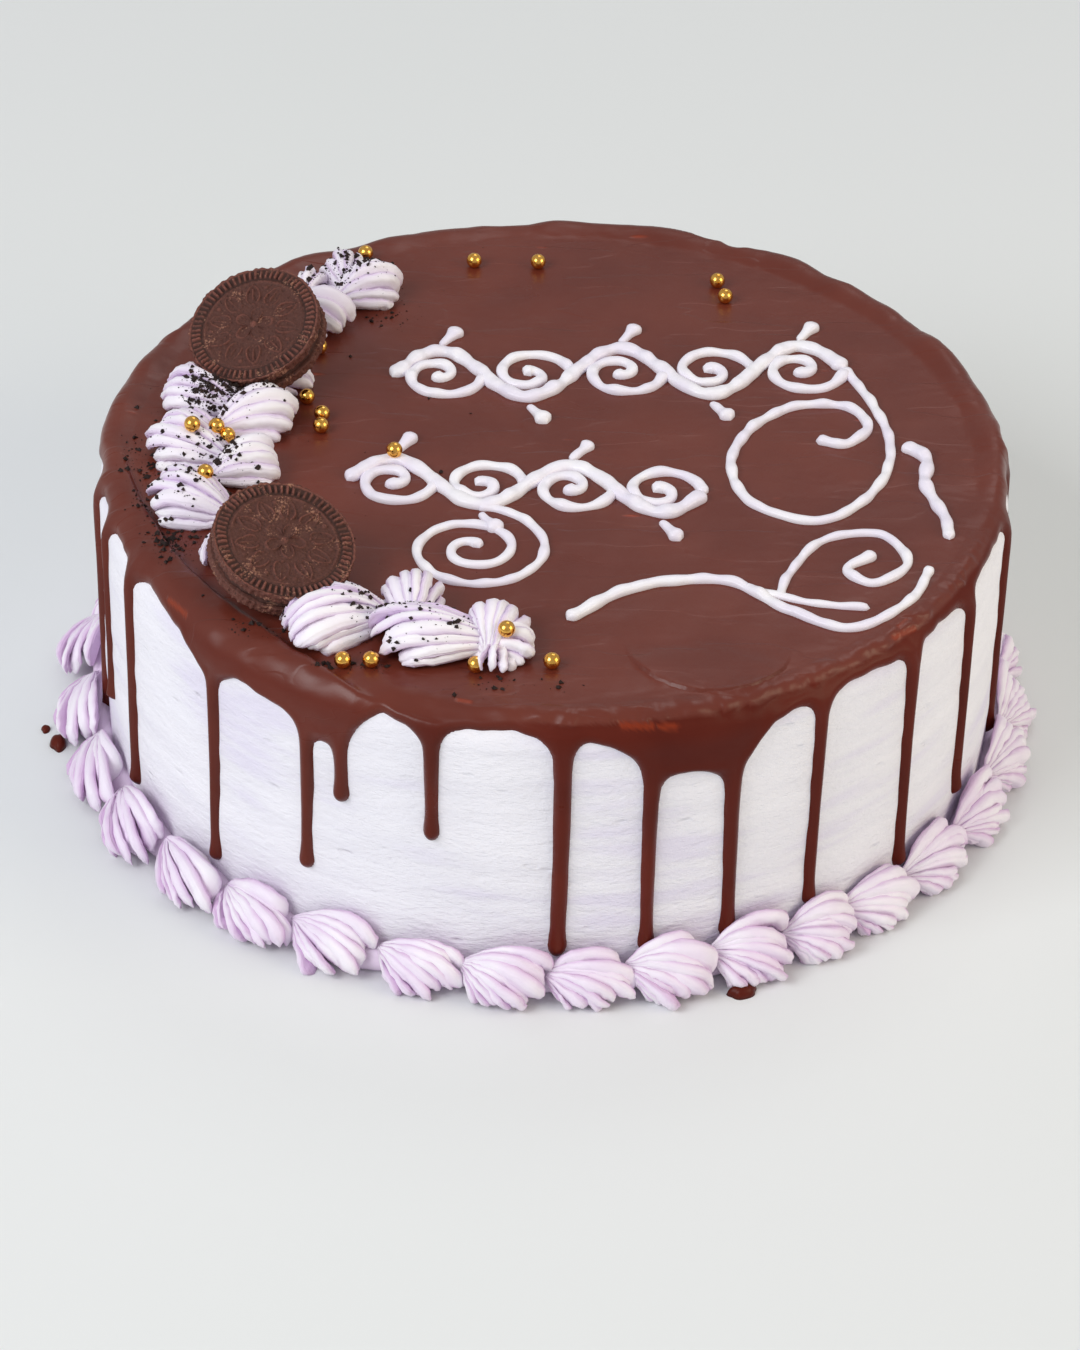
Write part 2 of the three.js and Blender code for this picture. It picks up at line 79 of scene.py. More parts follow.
CAKE_RADIUS = 147.0
CAKE_HEIGHT = 99.0
RIM = 9.0  # radius of the rounded upper rim
RIM_ARC = RIM * math.pi / 2
FLAT = CAKE_RADIUS - RIM  # radius of the flat top
SIDE = CAKE_HEIGHT - RIM  # height of the straight side
FOOT = RIM_ARC + SIDE  # way from the edge of the flat top, over the rim, down to the base
SKIN = 2.25  # top of the chocolate over the frosting
TOP_Z = CAKE_HEIGHT + SKIN
AROUND = TAU * CAKE_RADIUS
PEARL_RADIUS = 2.65

# Directions for many tubes at once.
SIDEWAYS, FORWARD, UPWARD = np.eye(3)[:, None, None]

# Drips that show from the front: angle, height of the tip, width.
FRONT_DRIPS = [
    (187.0, 5, 3.4), (195.8, 27.6, 3.0), (206.2, 12, 4.6), (225.3, 13, 4.7), (240.0, 29, 5.0),
    (244.7, 59.5, 4.8), (256.3, 53, 4.9), (271.7, 12, 6.0), (282.4, 12, 5.2), (292.6, 12, 5.6),
    (304.1, 15, 4.9), (319.4, 10, 5.2), (332.7, 18, 4.6), (350.1, 12, 4.2),
]
# How far the chocolate hangs past the start of the rounded rim, between the drips: angle, distance.
FRONT_HANG = [
    (183, 8), (188.5, 8), (192, 7.5), (197.5, 7.5), (201, 7.5), (208, 8), (211, 7.3), (219, 11), (223.5, 17),
    (227.5, 17), (230, 14), (238.5, 18), (242.2, 22), (246.5, 15), (249.8, 7.6), (254.5, 11), (258.2, 9),
    (266, 7.2), (269.5, 9.5), (273.8, 9.5), (277.2, 12), (280.8, 17.5), (284.2, 24.3), (287, 24.5),
    (290.5, 26), (294.5, 21), (297.5, 12.5), (302.5, 9.8), (305.8, 9.8), (310.2, 9), (317, 10), (321.5, 9.5),
    (325.5, 9), (331, 9), (335, 8.5), (342, 8), (348.5, 8.5), (352, 9),
]
BACK_DRIPS = {"count": 12, "sway": 5, "tip": (19, 70), "width": (4.2, 6.4), "hang": (8, 20), "seed": 41}

# Short scrapes where the chocolate lies thin: both ends, half the width.
SCRAPES = [
    ((21.7, -143.5, 98.6), (30.5, -142.8, 98.0), 1.0), ((33, -142.4, 97.7), (37.9, -141.7, 97.1), 0.8),
    ((104.6, -98.0, 100.4), (111.4, -91.6, 99.8), 0.9), ((106, -93.5, 100.9), (109, -89.5, 100.9), 0.7),
    ((-27.3, -136.3, 101.2), (-23.7, -137.3, 101.3), 0.8), ((-117.5, -85.2, 99.0), (-112, -92.3, 99.0), 0.8),
]
SCRAPE_STRENGTH = 0.42

# Stretches of the rim: angle where each begins, over how much it eases in, where it ends, over how much.
LEFT_RIDGE = (178, 16, 285, 22)
# Along this stretch the painted shade on the chocolate's side is weaker, where the key light falls on the left
# rim.
LEFT_LESS_SHADE = (176, 12, 262, 14)
FRONT_TERRACE = (258, 14, 352, 16)
BACK_RIM = (-18, 22, 200, 20)

# Lines round the rim as angles and values: how far the ridge and the terrace's brink lie outward from the
# end of the flat top, and how much fuller than an even rim the back one is.
RIDGE_LINE = ([180, 200, 227, 240, 251, 262], [1.5, -4, -4, 1, 7, 9])
BRINK_LINE = ([262, 275, 290, 305, 320, 350], [4.0, 5.6, 6.2, 5.2, 4.6, 4.0])
RIM_LUMPS = (
    [-18, 5, 12, 18, 26, 33, 42, 51, 59, 66, 76, 84, 95, 122, 129, 134, 142, 165, 190],
    [2.4, 4.6, 3.4, 3.8, 5.2, 4.2, 4.3, 4.2, 5.4, 4.2, 4.4, 3.6, 2.8, 2.9, 4.4, 4.0, 3.1, 3.4, 2.2],
)

# The step that a spatula left on the top: part of a circle, with its stretch given as the rim's are.
SPATULA_STEP = {"middle": (48, -104), "radius": 25.5, "height": 0.95, "arc": (190, 25, 345, 25)}

# Foot border: middle angles of the shells in front, how many fill the rest of the ring, the circle that
# their lengths are measured on, and an even shell's length, middle and tail (along the foot, out, up).
FRONT_SHELLS = [
    173.4, 186.7, 199.2, 211.3, 223.0, 233.5, 244.6, 255.6, 265.6, 275.2, 285.0, 295.0, 304.4, 313.5, 324.5,
    335.6, 347.0, 358.1,
]
BACK_SHELLS = 15
BORDER_CIRCLE = CAKE_RADIUS + 7
EVEN_SHELL = {"length": 28.2, "middle": 13.8, "tail": (-2.0, 2.8, 9.0)}

# Mouth of a border shell, from the foot outside up to the side of the cake: share of the way, then place
# along the foot, out from the cake and up. The ribs bulge by some distance near the tail and near the mouth,
# and some way (degrees up from outward), at four shares.
MOUTH_SHARE = [0, 0.2, 0.4, 0.6, 0.75, 0.9, 1.0]
MOUTH = np.array([
    (6.5, 8.4, 0.6), (12.0, 11.2, 0.6), (18.5, 12.2, 0.9), (24.5, 11.2, 2.0), (28.2, 9.0, 4.4),
    (29.0, 6.2, 7.8), (27.5, 3.0, 11.0),
])
BULGE_SHARE = [0, 0.33, 0.66, 1]
BULGE = {"near tail": [3.0, 5.2, 7.0, 7.5], "near mouth": [2.6, 5.6, 8.4, 9.2], "way": [14, 42, 66, 82]}
# The shells at the left reach further out: angle, factor.
BORDER_REACH = ([170, 200, 225, 242], [1.38, 1.3, 1.12, 1.0])

# Ribs of the shells: places of the rings on a rib, points round it, and for each kind of shell how much a
# rib overlaps its neighbours, its greatest half width, height to width, lean of the pleat and how pointed
# its tip is.
RIB_SHARES = np.array([
    0.015, 0.06, 0.12, 0.19, 0.26, 0.34, 0.42, 0.50, 0.58, 0.66, 0.73, 0.79, 0.845, 0.89, 0.925, 0.955, 0.978,
    0.994,
])
RIB_SIDES = 14
BORDER_RIBS = {"overlap": 1.06, "widest": 3.0, "depth": 0.78, "lean": 0.7, "point": 0.8}
CRESCENT_RIBS = {"overlap": 0.95, "depth": 0.82, "lean": 0.65, "point": 0.55}

# Crescent: tail point, heading, length, width, height, bend, number of ribs.
CRESCENT = [
    ((-108, 38), 40, 30, 22, 14, 0, 7), ((-104, 31), 14, 25, 12, 9, 0, 6), ((-86, 88), 74, 13, 12, 9, 0, 5),
    ((-91, 77), -8, 21, 19, 13, 0, 7), ((-71, 92), 96, 17, 16, 12, 0, 8), ((-75, 87), 26, 22, 20, 14, 8, 9),
    ((-101, 12), 140, 31, 24, 14, 8, 9), ((-109, 22), 34, 22, 18, 12, 0, 7),
    ((-110, 3), 26, 27, 20, 14, 6, 8), ((-104, -14), 150, 28, 24, 14, -6, 10),
    ((-109, -23), 22, 22, 20, 13, 8, 8), ((-101, -46), 153, 28, 23, 14, -8, 10),
    ((-100.5, -50), 262, 22, 14, 7, 0, 5), ((-16, -112), 262, 12, 10, 6, 0, 5),
    ((-19, -112), 5, 14, 14, 9, 0, 6), ((-49, -99), 180, 32, 27, 15, 14, 11),
    ((-42, -103), 92, 20, 18, 14, 0, 8), ((-17, -110), 184, 36, 22, 14, -10, 10),
    ((-18.5, -117), 84, 19, 20, 13, 0, 9),
]

# Biscuits: middle of the underside, its lift, the tilt and the direction the face leans towards (degrees).
BISCUITS = [("biscuit_1", (-96.8, 43.0), 12.8, 28.5, -126), ("biscuit_2", (-84.6, -77.4), 8.6, 22, -50)]
BISCUIT = {"radius": 22.4, "wafer": 4.0, "filling": 2.8, "inset": 1.8}
BARS = 66  # short bars round a wafer's face
BAR_BAND = 4.8  # width of the band that they stand on
PRESS_DEPTH = 0.95

LOOSE_PEARLS = [
    (-29, 116), (-7, 116), (54.5, 106), (57, 96), (-66.5, 119), (-76, 16), (-76, 9), (-79, 57.3), (-81.5, 26),
    (-62.5, -120.0), (-54, -120), (-22.4, -121.2), (0.5, -118.8),
]
# Pearls pressed into the shells: place and height over the chocolate.
RAISED_PEARLS = [
    (-115.9, -11.2, 14.9), (-108.5, -7.2, 11.8), (-105.1, -7.5, 8.6), (-109.9, -36.0, 13.0),
    (-13.4, -114.0, 10.6), (-51.5, -7.5, 4.4),
]

# Scrollwork: two vines with curled shoots and leaves, a spiral, and free lines (places, width at the start
# and at the end).
VINES = [
    {"start": (-54, 43), "half_wave": 30, "count": 5, "rise": 14.5, "slope": 2.2},
    {"start": (-66, -19), "half_wave": 28.5, "count": 4, "rise": 12, "slope": -1},
]
VINE_WIDTH = 4.8
SHOOT = {"width": 3.6, "turns": 1.4, "inner": 2, "taper": 1.45}
LEAF = {"length": 12, "stem": 1.8, "tip": 5, "lean": 32, "clear": 4.2}
SPIRAL = {"middle": (-25, -57), "radii": (25, 24), "start": 88, "turns": -2.15, "inner": 0.1, "width": 3.1}
FREE_LINES = [
    ([(96, 54), (104, 34), (109, 8), (103, -18), (84, -37), (63, -27), (57, -4), (65, 18), (80, 31), (97, 30),
      (102, 18), (94, 8), (85, 10)], 3.2, 3.6),
    ([(113, 8), (120, 1), (119, -15), (124, -32), (125, -45)], 4.8, 3.4),
    ([(5, -94), (26, -76), (54, -71), (73, -86), (92, -95), (111, -79), (118, -62)], 4.2, 3.0),
    ([(59, -74), (80, -82), (98, -84)], 2.8, 2.6),
    ([(70, -80), (74, -66), (86, -47), (104, -44), (111, -60), (99, -71), (92, -64), (101, -55)], 2.8, 3.4),
]
LINE_STEP = 0.9  # distance of the rings on a piped line

# Crumbs: middle, spread and number of each patch; the stray ones; smallest and largest crumb (radius), and
# how rare the large ones are.
CRUMB_PATCHES = [
    ((-114, 14), (4.8, 5.0), 480), ((-105, 17), (5.0, 4.0), 380), ((-97, 20), (6, 4), 140),
    ((-108, 8), (8, 5), 110), ((-107, -20), (6, 5), 120), ((-100, -32), (7, 4), 110),
    ((-112, -14), (7, 6), 90), ((-114, -36), (7, 6), 60), ((-129, -14), (5, 8), 90),
    ((-119, -56), (6, 9), 190), ((-128, -36), (4, 6), 50), ((-54, -103), (7, 5), 110),
    ((-62, -96), (6, 3), 30), ((-40, -104), (6, 3), 50), ((-30, -113), (9, 4), 45), ((-56, -120), (9, 3), 80),
    ((-14, -128), (12, 3), 30), ((-72, 96), (6, 8), 200), ((-80, 92), (5, 4), 110), ((-62, 96), (7, 7), 60),
    ((-56, 80), (5, 5), 40), ((-136, -6), (3, 14), 30), ((-92, -103), (10, 3), 60), ((-90, -55), (8, 2), 25),
]
STRAY_CRUMBS = {"count": 90, "x": (-140, -20), "y": (-135, 130), "inside": 142}
CRUMB_SIZE = (0.16, 1.2)
CRUMB_RARITY = 4.4

# Beads of chocolate that ran down to the foot: place, length along the foot, width, height.
POOLS = [((62.0, -148.3), 9.5, 6.0, 3.2), ((-162, -29.0), 8.0, 5.5, 3.2), ((-167, -21), 4.0, 3.0, 1.6)]

# Camera of the photo: place, degrees down and rolled, its focal length and the height of its sensor.
CAMERA = {"place": (-3.004, -1204.387, 886.876), "down": 35.99, "roll": 1.35, "lens": 118.465, "sensor": 36.0}

# Lights: name, place and aim in metres, power in watts, width in metres, colour. A cool key light at the
# upper left, a warm one at the right and a weak one behind.
LIGHTS = [
    ("key_light", (-1.5, -1.2, 1.6), (0, 0, 0.05), 31.2, 1.3, (0.965, 0.975, 1.0)),
    ("fill_light", (1.9, -0.7, 1.05), (0, 0, 0.05), 16.5, 1.3, (1.0, 0.86, 0.62)),
    ("back_light", (0.5, 1.5, 2.2), (0, 0, 0.08), 6, 1.0, (1.0, 1.0, 1.0)),
]
SURROUND = {"colour": "#EEF0F2", "strength": 0.56}  # the even light all round


# ------------------------------------------------------------------ numbers and noise


def linear(code):
    """An sRGB hex colour as linear red, green, blue."""
    parts = [int(code[i : i + 2], 16) / 255 for i in (1, 3, 5)]
    return tuple(c / 12.92 if c <= 0.04045 else ((c + 0.055) / 1.055) ** 2.4 for c in parts)


def opaque(colour):
    """A colour, given as hex or as linear red, green and blue, as a linear one with full alpha."""
    return (*(linear(colour) if isinstance(colour, str) else colour), 1)


def smoothstep(x):
    """0 below 0, 1 above 1, with an even S between."""
    t = np.clip(x, 0, 1)
    return t * t * (3 - 2 * t)


def between(x, start, ease_in, end, ease_out):
    """1 between two values and 0 outside them, with a smoothstep from the start on and one up to the end."""
    return smoothstep((x - start) / ease_in) * smoothstep((end - x) / ease_out)


def bell(x, middle, width):
    """1 in the middle, falling off on both sides as exp(-((x - middle) / width)^2)."""
    return np.exp(-(((x - middle) / width) ** 2))


def powered(x, power):
    """x to a power, with its sign kept."""
    return np.sign(x) * np.abs(x) ** power


def unevenness(seed, wavelength, *coordinates, waves=14):
    """A smooth random field of about unit size: cosines in random directions near one wavelength, summed."""
    rng = np.random.default_rng(seed)
    total = 0.0
    for _ in range(waves):
        direction = rng.normal(size=len(coordinates))
        direction /= np.linalg.norm(direction)
        turn = TAU / wavelength * rng.uniform(0.6, 1.5)
        along = sum(c * d for c, d in zip(coordinates, direction))
        total = total + np.cos(turn * along + rng.uniform(0, TAU))
    return total * math.sqrt(2 / waves) * 0.6


def unit(vectors):
    """Vectors scaled to length one."""
    return vectors / np.maximum(np.linalg.norm(vectors, axis=-1, keepdims=True), 1e-9)


def circle(count):
    """Cosine and sine at even steps of a turn."""
    turn = TAU * np.arange(count) / count
    return np.cos(turn), np.sin(turn)


def turned(radius, angle, height):
    """Points about the upright axis; rows of radius or height may meet columns of angle."""
    return np.stack(np.broadcast_arrays(radius * np.cos(angle), radius * np.sin(angle), height), axis=-1)


def placed(points, matrix):
    """Points moved by a 4 x 4 matrix."""
    return points @ matrix[:3, :3].T + matrix[:3, 3]


def smooth_curve(places, spacing):
    """Points at about even spacing on a centripetal Catmull-Rom curve through the places: on each stretch,
    three lines between neighbouring places are blended to two curves, and these to one."""
    knots = np.array(places, float)
    ends = np.vstack([2 * knots[0] - knots[1], knots, 2 * knots[-1] - knots[-2]])
    at = np.concatenate([[0], np.cumsum(np.sqrt(np.linalg.norm(np.diff(ends, axis=0), axis=1)))])
    out = []
    for i in range(len(ends) - 3):
        t = at[i : i + 4]
        x = np.linspace(t[1], t[2], 40, endpoint=False)[:, None]

        def blend(a, b, from_a, to_b):
            return ((t[to_b] - x) * a + (x - t[from_a]) * b) / (t[to_b] - t[from_a])

        lines = [blend(ends[i + k], ends[i + k + 1], k, k + 1) for k in range(3)]
        curves = [blend(lines[k], lines[k + 1], k, k + 2) for k in range(2)]
        out.append(blend(*curves, 1, 2))
    return respaced(np.vstack(out + [knots[-1:]]), spacing)


def respaced(points, spacing):
    """The same line with points at even distances."""
    length = np.concatenate([[0], np.cumsum(np.linalg.norm(np.diff(points, axis=0), axis=1))])
    at = np.linspace(0, length[-1], max(4, int(length[-1] / spacing)))
    return np.stack([np.interp(at, length, points[:, k]) for k in range(points.shape[1])], axis=1)


# ------------------------------------------------------------------ meshes


def new_object(name, points, faces, material):
    """A smooth mesh object from points in millimetres and lists of quads or triangles."""
    mesh = bpy.data.meshes.new(name)
    points = np.asarray(points, np.float32).reshape(-1, 3) * MM
    corners = np.concatenate([np.asarray(f, np.int32).ravel() for f in faces])
    sizes = np.concatenate([np.full(len(f), np.shape(f)[1], np.int32) for f in faces])
    mesh.vertices.add(len(points))
    mesh.vertices.foreach_set("co", points.ravel())
    mesh.loops.add(len(corners))
    mesh.loops.foreach_set("vertex_index", corners)
    mesh.polygons.add(len(sizes))
    mesh.polygons.foreach_set("loop_start", np.concatenate([[0], np.cumsum(sizes)[:-1]]).astype(np.int32))
    mesh.update(calc_edges=True)
    mesh.validate()
    mesh.shade_smooth()
    mesh.materials.append(material)
    made = bpy.data.objects.new(name, mesh)
    bpy.context.scene.collection.objects.link(made)
    return made


def make_piece(name, points, faces, material, slot, replaces=(), **attributes):
    """A piece that rides on the cake. An attribute is one value for all its points, or one for each."""
    piece = new_object(name, points, faces, material)
    for key, values in attributes.items():
        layer = piece.data.attributes.new(key, "FLOAT", "POINT")
        layer.data.foreach_set("value", np.ones(len(points), np.float32) * np.asarray(values, np.float32))
    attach(piece, "root")
    if replaces:
        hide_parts(*replaces)
    return piece


def grid_faces(rows, columns, closed=True):
    """Quads of a grid of points stored row by row; closed joins the last column to the first."""
    i, j = np.meshgrid(np.arange(rows - 1), np.arange(columns if closed else columns - 1), indexing="ij")
    k = (j + 1) % columns
    a = i * columns
    return np.stack([a + j, a + k, a + columns + k, a + columns + j], axis=-1).reshape(-1, 4)


def fan_faces(centre, ring, flip=False):
    """Triangles from a middle point to a closed ring of points."""
    after = np.roll(ring, -1)
    first, second = (after, ring) if flip else (ring, after)
    return np.stack([np.full(len(ring), centre), first, second], axis=-1)


def barrel_faces(rows, columns):
    """Quads and triangles of closed rings stored row by row, then the middles of the first and the last."""
    ring = np.arange(columns)
    start = fan_faces(rows * columns, ring, flip=True)
    end = fan_faces(rows * columns + 1, (rows - 1) * columns + ring)
    return [grid_faces(rows, columns), np.concatenate([start, end])]


def capped(rings, start, end, flip=False):
    """A closed form as (points, faces) from rings of points and the middles of the first and the last."""
    faces = barrel_faces(*rings.shape[:2])
    if flip:
        faces = [f[:, ::-1] for f in faces]
    return np.concatenate([rings.reshape(-1, 3), [start, end]]), faces


def tubes(centres, side, up, scale_side, scale_up, start_pole, end_pole, outline):
    """Closed tapered tubes, many at once, as (points, faces). A ring is the outline, given as side and up
    values round the turn, spread about its centre along the side and up vectors by the two scales, and both
    ends close at a pole. Arrays are (tubes, rings, 3) and (tubes, rings)."""
    rings = (
        centres[:, :, None, :]
        + side[:, :, None, :] * (scale_side[:, :, None] * outline[0])[..., None]
        + up[:, :, None, :] * (scale_up[:, :, None] * outline[1])[..., None]
    )
    count, length, around = rings.shape[:3]
    points = np.concatenate([rings.reshape(count, -1, 3), start_pole[:, None], end_pole[:, None]], axis=1)
    shift = (np.arange(count) * points.shape[1])[:, None, None]
    faces = [(f[None] + shift).reshape(-1, f.shape[1]) for f in barrel_faces(length, around)]
    return points.reshape(-1, 3), faces


def joined(parts):
    """Several (points, [quads, triangles], value for each point, ...) as one."""
    points, faces, *values = zip(*parts)
    starts = np.cumsum([0, *map(len, points)])
    both = [np.concatenate([f[k] + start for f, start in zip(faces, starts)]) for k in (0, 1)]
    return [np.concatenate(points), both, *map(np.concatenate, values)]


# ------------------------------------------------------------------ materials


def node(tree, kind, settings=None, links=None):
    """Adds one shader node, sets its properties and sockets, and links its inputs. Sockets go by name or
    number, a link comes from a socket or a node's first output, and "stops" are the (position, colour) of a
    ramp."""
    made = tree.nodes.new("ShaderNode" + kind)
    for key, value in (settings or {}).items():
        if key == "stops":
            elements = made.color_ramp.elements
            for position, _ in value[1:-1]:
                elements.new(position)
            for element, (position, colour) in zip(elements, value):
                element.position = position
                element.color = opaque(colour)
        elif isinstance(key, str) and hasattr(made, key):
            setattr(made, key, value)
        else:
            made.inputs[key].default_value = value
    for key, source in (links or {}).items():
        tree.links.new(getattr(source, "outputs", [source])[0], made.inputs[key])
    return made


def new_material(name):
    """A bare node material: returns it, `node` for its tree, and its Object coordinates in millimetres."""
    material = bpy.data.materials.new(name)
    material.use_nodes = True
    material.node_tree.nodes.clear()
    add = partial(node, material.node_tree)
    metres = add("TexCoord").outputs["Object"]
    return material, add, add("Mapping", {"Scale": (1 / MM, 1 / MM, 1 / MM)}, {0: metres})


def finished(material, settings, links):
    """The material, given its shader and output."""
    shader = node(material.node_tree, "BsdfPrincipled", settings, links)
    node(material.node_tree, "OutputMaterial", links={"Surface": shader})
    return material


def frosting_material(colour):
    """Smoothed buttercream: matte and white. The scraper leaves faint lilac bands about 10 mm high that
    wander round the cake, a fine grain drawn out sideways, and small pits and smears where air bubbles
    burst."""
    material, add, true_size = new_material("smoothed_buttercream")
    flat = add("Mapping", {"Scale": (0.12, 0.12, 1)}, {0: true_size})
    grained = add("Mapping", {"Scale": (0.4, 0.4, 1)}, {0: true_size})
    bands = add("TexNoise", {"Scale": 1 / 8, "Detail": 2.0}, {"Vector": flat})
    clouds = add("TexNoise", {"Scale": 1 / 55, "Detail": 1.0}, {"Vector": true_size})
    both = add("Math", {"operation": "MULTIPLY"}, {0: bands, 1: clouds})
    tone = add("MapRange", {"From Min": 0.17, "From Max": 0.40}, {0: both})
    tint = add("ValToRGB", {"stops": [(0.0, "#F6F4FB"), (0.5, colour), (1.0, "#E9E4F4")]}, {0: tone})
    grain = add("TexNoise", {"Scale": 1 / 2.4, "Detail": 4.0, "Roughness": 0.7}, {"Vector": grained})
    cells = add("TexVoronoi", {"Scale": 1 / 7.5}, {"Vector": grained})
    few = add("TexNoise", {"Scale": 1 / 24, "Detail": 1.0}, {"Vector": true_size})
    pit = add("MapRange", {"From Min": 0.03, "From Max": 0.16}, {0: cells.outputs["Distance"]})
    rare = add("MapRange", {"From Min": 0.5, "From Max": 0.56, "To Min": 1.0, "To Max": 0.0}, {0: few})
    pitted = add("Math", {"operation": "MAXIMUM"}, {0: pit, 1: rare})
    wide = add("Bump", {"Strength": 0.5, "Distance": 0.3 * MM}, {"Height": bands})
    fine = add("Bump", {"Strength": 1.0, "Distance": 0.9 * MM}, {"Height": grain, "Normal": wide})
    dents = add("Bump", {"Strength": 1.0, "Distance": 0.5 * MM}, {"Height": pitted, "Normal": fine})
    finish = {"Roughness": 0.6, "IOR": 1.46, "Specular IOR Level": 0.35}
    return finished(material, finish, {"Base Color": tint, "Normal": dents})


def chocolate_material(colour):
    """Set ganache: brown with a soft gloss on top. Where the piece's `side` attribute rises it is duller, and
    darker and redder by painted shade, a shaded copy of the top's colour. The top has long thin spatula marks
    and the ledge that a spatula left. All of it has a dull grain and rare orange flecks; the `thin` attribute
    gives the scrapes the same colour."""
    material, add, true_size = new_material("set_ganache")
    drawn = add("Mapping", {"Scale": (0.28, 1, 1), "Rotation": (0, 0, 0.2)}, {0: true_size})
    on_side = add("Attribute", {"attribute_name": "side"}).outputs["Fac"]
    thin = add("Attribute", {"attribute_name": "thin"}).outputs["Fac"]
    cloud = add("TexNoise", {"Scale": 1 / 40, "Detail": 3.0}, {"Vector": true_size})
    tone = add("MapRange", {"From Min": 0.3, "From Max": 0.7}, {0: cloud})
    top = add("ValToRGB", {"stops": [(0.0, "#622A1F"), (0.5, colour), (1.0, "#6E3225")]}, {0: tone})
    # Painted shade: the side's colours are a darker, redder copy of the top's.
    side = add("ValToRGB", {"stops": [(0.0, "#521B12"), (1.0, "#622419")]}, {0: tone})
    upper = add("Math", {"operation": "SUBTRACT", 0: 1.0}, {1: on_side})
    top_and_shaded_side = add("Mix", {"data_type": "RGBA"}, {0: upper, 6: side, 7: top}).outputs[2]
    cells = add("TexVoronoi", {"Scale": 1 / 11}, {"Vector": drawn})
    fleck = add("MapRange", {"From Min": 0.10, "From Max": 0.02}, {0: cells.outputs["Distance"]})
    some = add("TexNoise", {"Scale": 1 / 30, "Detail": 1.0}, {"Vector": true_size})
    here = add("MapRange", {"From Min": 0.52, "From Max": 0.62, "To Max": 0.85}, {0: some})
    specks = add("Math", {"operation": "MULTIPLY"}, {0: fleck, 1: here})
    flecked = add("Math", {"operation": "MAXIMUM"}, {0: specks, 1: thin})
    orange = add("Mix", {"data_type": "RGBA", 7: opaque("#A6401F")}, {0: flecked, 6: top_and_shaded_side}).outputs[2]
    sheen = add("MapRange", {"To Min": 0.13, "To Max": 0.36}, {0: upper})
    streaks = add("TexNoise", {"Scale": 1 / 17, "Detail": 2.5, "Roughness": 0.45}, {"Vector": drawn})
    gloss = add("MapRange", {"From Min": 0.3, "From Max": 0.7, "To Min": 0.27, "To Max": 0.38}, {0: streaks})
    swell = add("Bump", {"Strength": 0.9, "Distance": 0.75 * MM}, {"Height": streaks})
    crisp = {"interpolation_type": "SMOOTHSTEP", "From Min": 0.5, "From Max": 0.525}
    mark = add("MapRange", crisp, {0: streaks})
    on_top = add("Math", {"operation": "MULTIPLY"}, {0: mark, 1: upper})
    marks = add("Bump", {"Strength": 0.7, "Distance": 0.16 * MM}, {"Height": on_top, "Normal": swell})
    middle, edge = (*SPATULA_STEP["middle"], TOP_Z), SPATULA_STEP["radius"]
    wavy = add("TexNoise", {"Scale": 1 / 12, "Detail": 2.0}, {"Vector": true_size}).outputs["Color"]
    shake = {"data_type": "RGBA", "blend_type": "LINEAR_LIGHT", 0: 1.0}
    shaken = add("Mix", shake, {6: true_size, 7: wavy}).outputs[2]
    apart = add("VectorMath", {"operation": "DISTANCE", 1: middle}, {0: shaken}).outputs["Value"]
    lip = add("MapRange", {"From Min": edge + 0.5, "From Max": edge - 0.5}, {0: apart})
    ahead = add("SeparateXYZ", links={0: true_size}).outputs["Y"]
    near_front = add("MapRange", {"From Min": middle[1] - 2, "From Max": middle[1] - 14}, {0: ahead})
    ledge = add("Math", {"operation": "MULTIPLY"}, {0: lip, 1: near_front})
    stepped = add("Bump", {"Strength": 0.9, "Distance": 0.8 * MM}, {"Height": ledge, "Normal": marks})
    dent = add("Math", {"operation": "MULTIPLY", 1: -1.0}, {0: flecked})
    dents = add("Bump", {"Strength": 0.8, "Distance": 0.5 * MM}, {"Height": dent, "Normal": stepped})
    grain = add("TexNoise", {"Scale": 1 / 0.9, "Detail": 4.0, "Roughness": 0.6}, {"Vector": true_size})
    dull = add("Bump", {"Strength": 0.5, "Distance": 0.05 * MM}, {"Height": grain, "Normal": dents})
    looks = {"Base Color": orange, "Specular IOR Level": sheen, "Roughness": gloss, "Normal": dull}
    return finished(material, {"IOR": 1.45}, looks)


def cream_material(name, colour, shade, light, roughness=0.45):
    """Piped buttercream or icing: pale lilac with a soft sheen, whiter in clouds, with a slight grain and fine
    lines along the ribs.
    A painted shade makes the creases between ribs deeper lilac: the piece's `fold` attribute is 0 in a crease,
    where this shade is full, and 1 on a crest. Its `strand` attribute changes only across a rib."""
    material, add, true_size = new_material(name)
    cloud = add("TexNoise", {"Scale": 1 / 18, "Detail": 2.0}, {"Vector": true_size})
    whiter = add("MapRange", {"From Min": 0.38, "From Max": 0.62}, {0: cloud})
    ribs = {"data_type": "RGBA", 6: opaque(colour), 7: opaque(light)}
    clouded = add("Mix", ribs, {0: whiter}).outputs[2]
    fold = add("Attribute", {"attribute_name": "fold"}).outputs["Fac"]
    # Painted shade: the shade colour fills the creases where `fold` is low.
    crease_shaded = add("Mix", {"data_type": "RGBA", 6: opaque(shade)}, {0: fold, 7: clouded}).outputs[2]
    strand = add("Attribute", {"attribute_name": "strand"}).outputs["Fac"]
    line = add("TexNoise", {"noise_dimensions": "1D", "Scale": 1.1, "Detail": 2.0}, {"W": strand})
    lines = add("Bump", {"Strength": 0.7, "Distance": 0.5 * MM}, {"Height": line})
    grain = add("TexNoise", {"Scale": 1 / 1.3, "Detail": 4.0, "Roughness": 0.6}, {"Vector": true_size})
    bump = add("Bump", {"Strength": 0.8, "Distance": 0.16 * MM}, {"Height": grain, "Normal": lines})
    finish = {"Roughness": roughness, "IOR": 1.46, "Specular IOR Level": 0.45}
    return finished(material, finish, {"Base Color": crease_shaded, "Normal": bump})


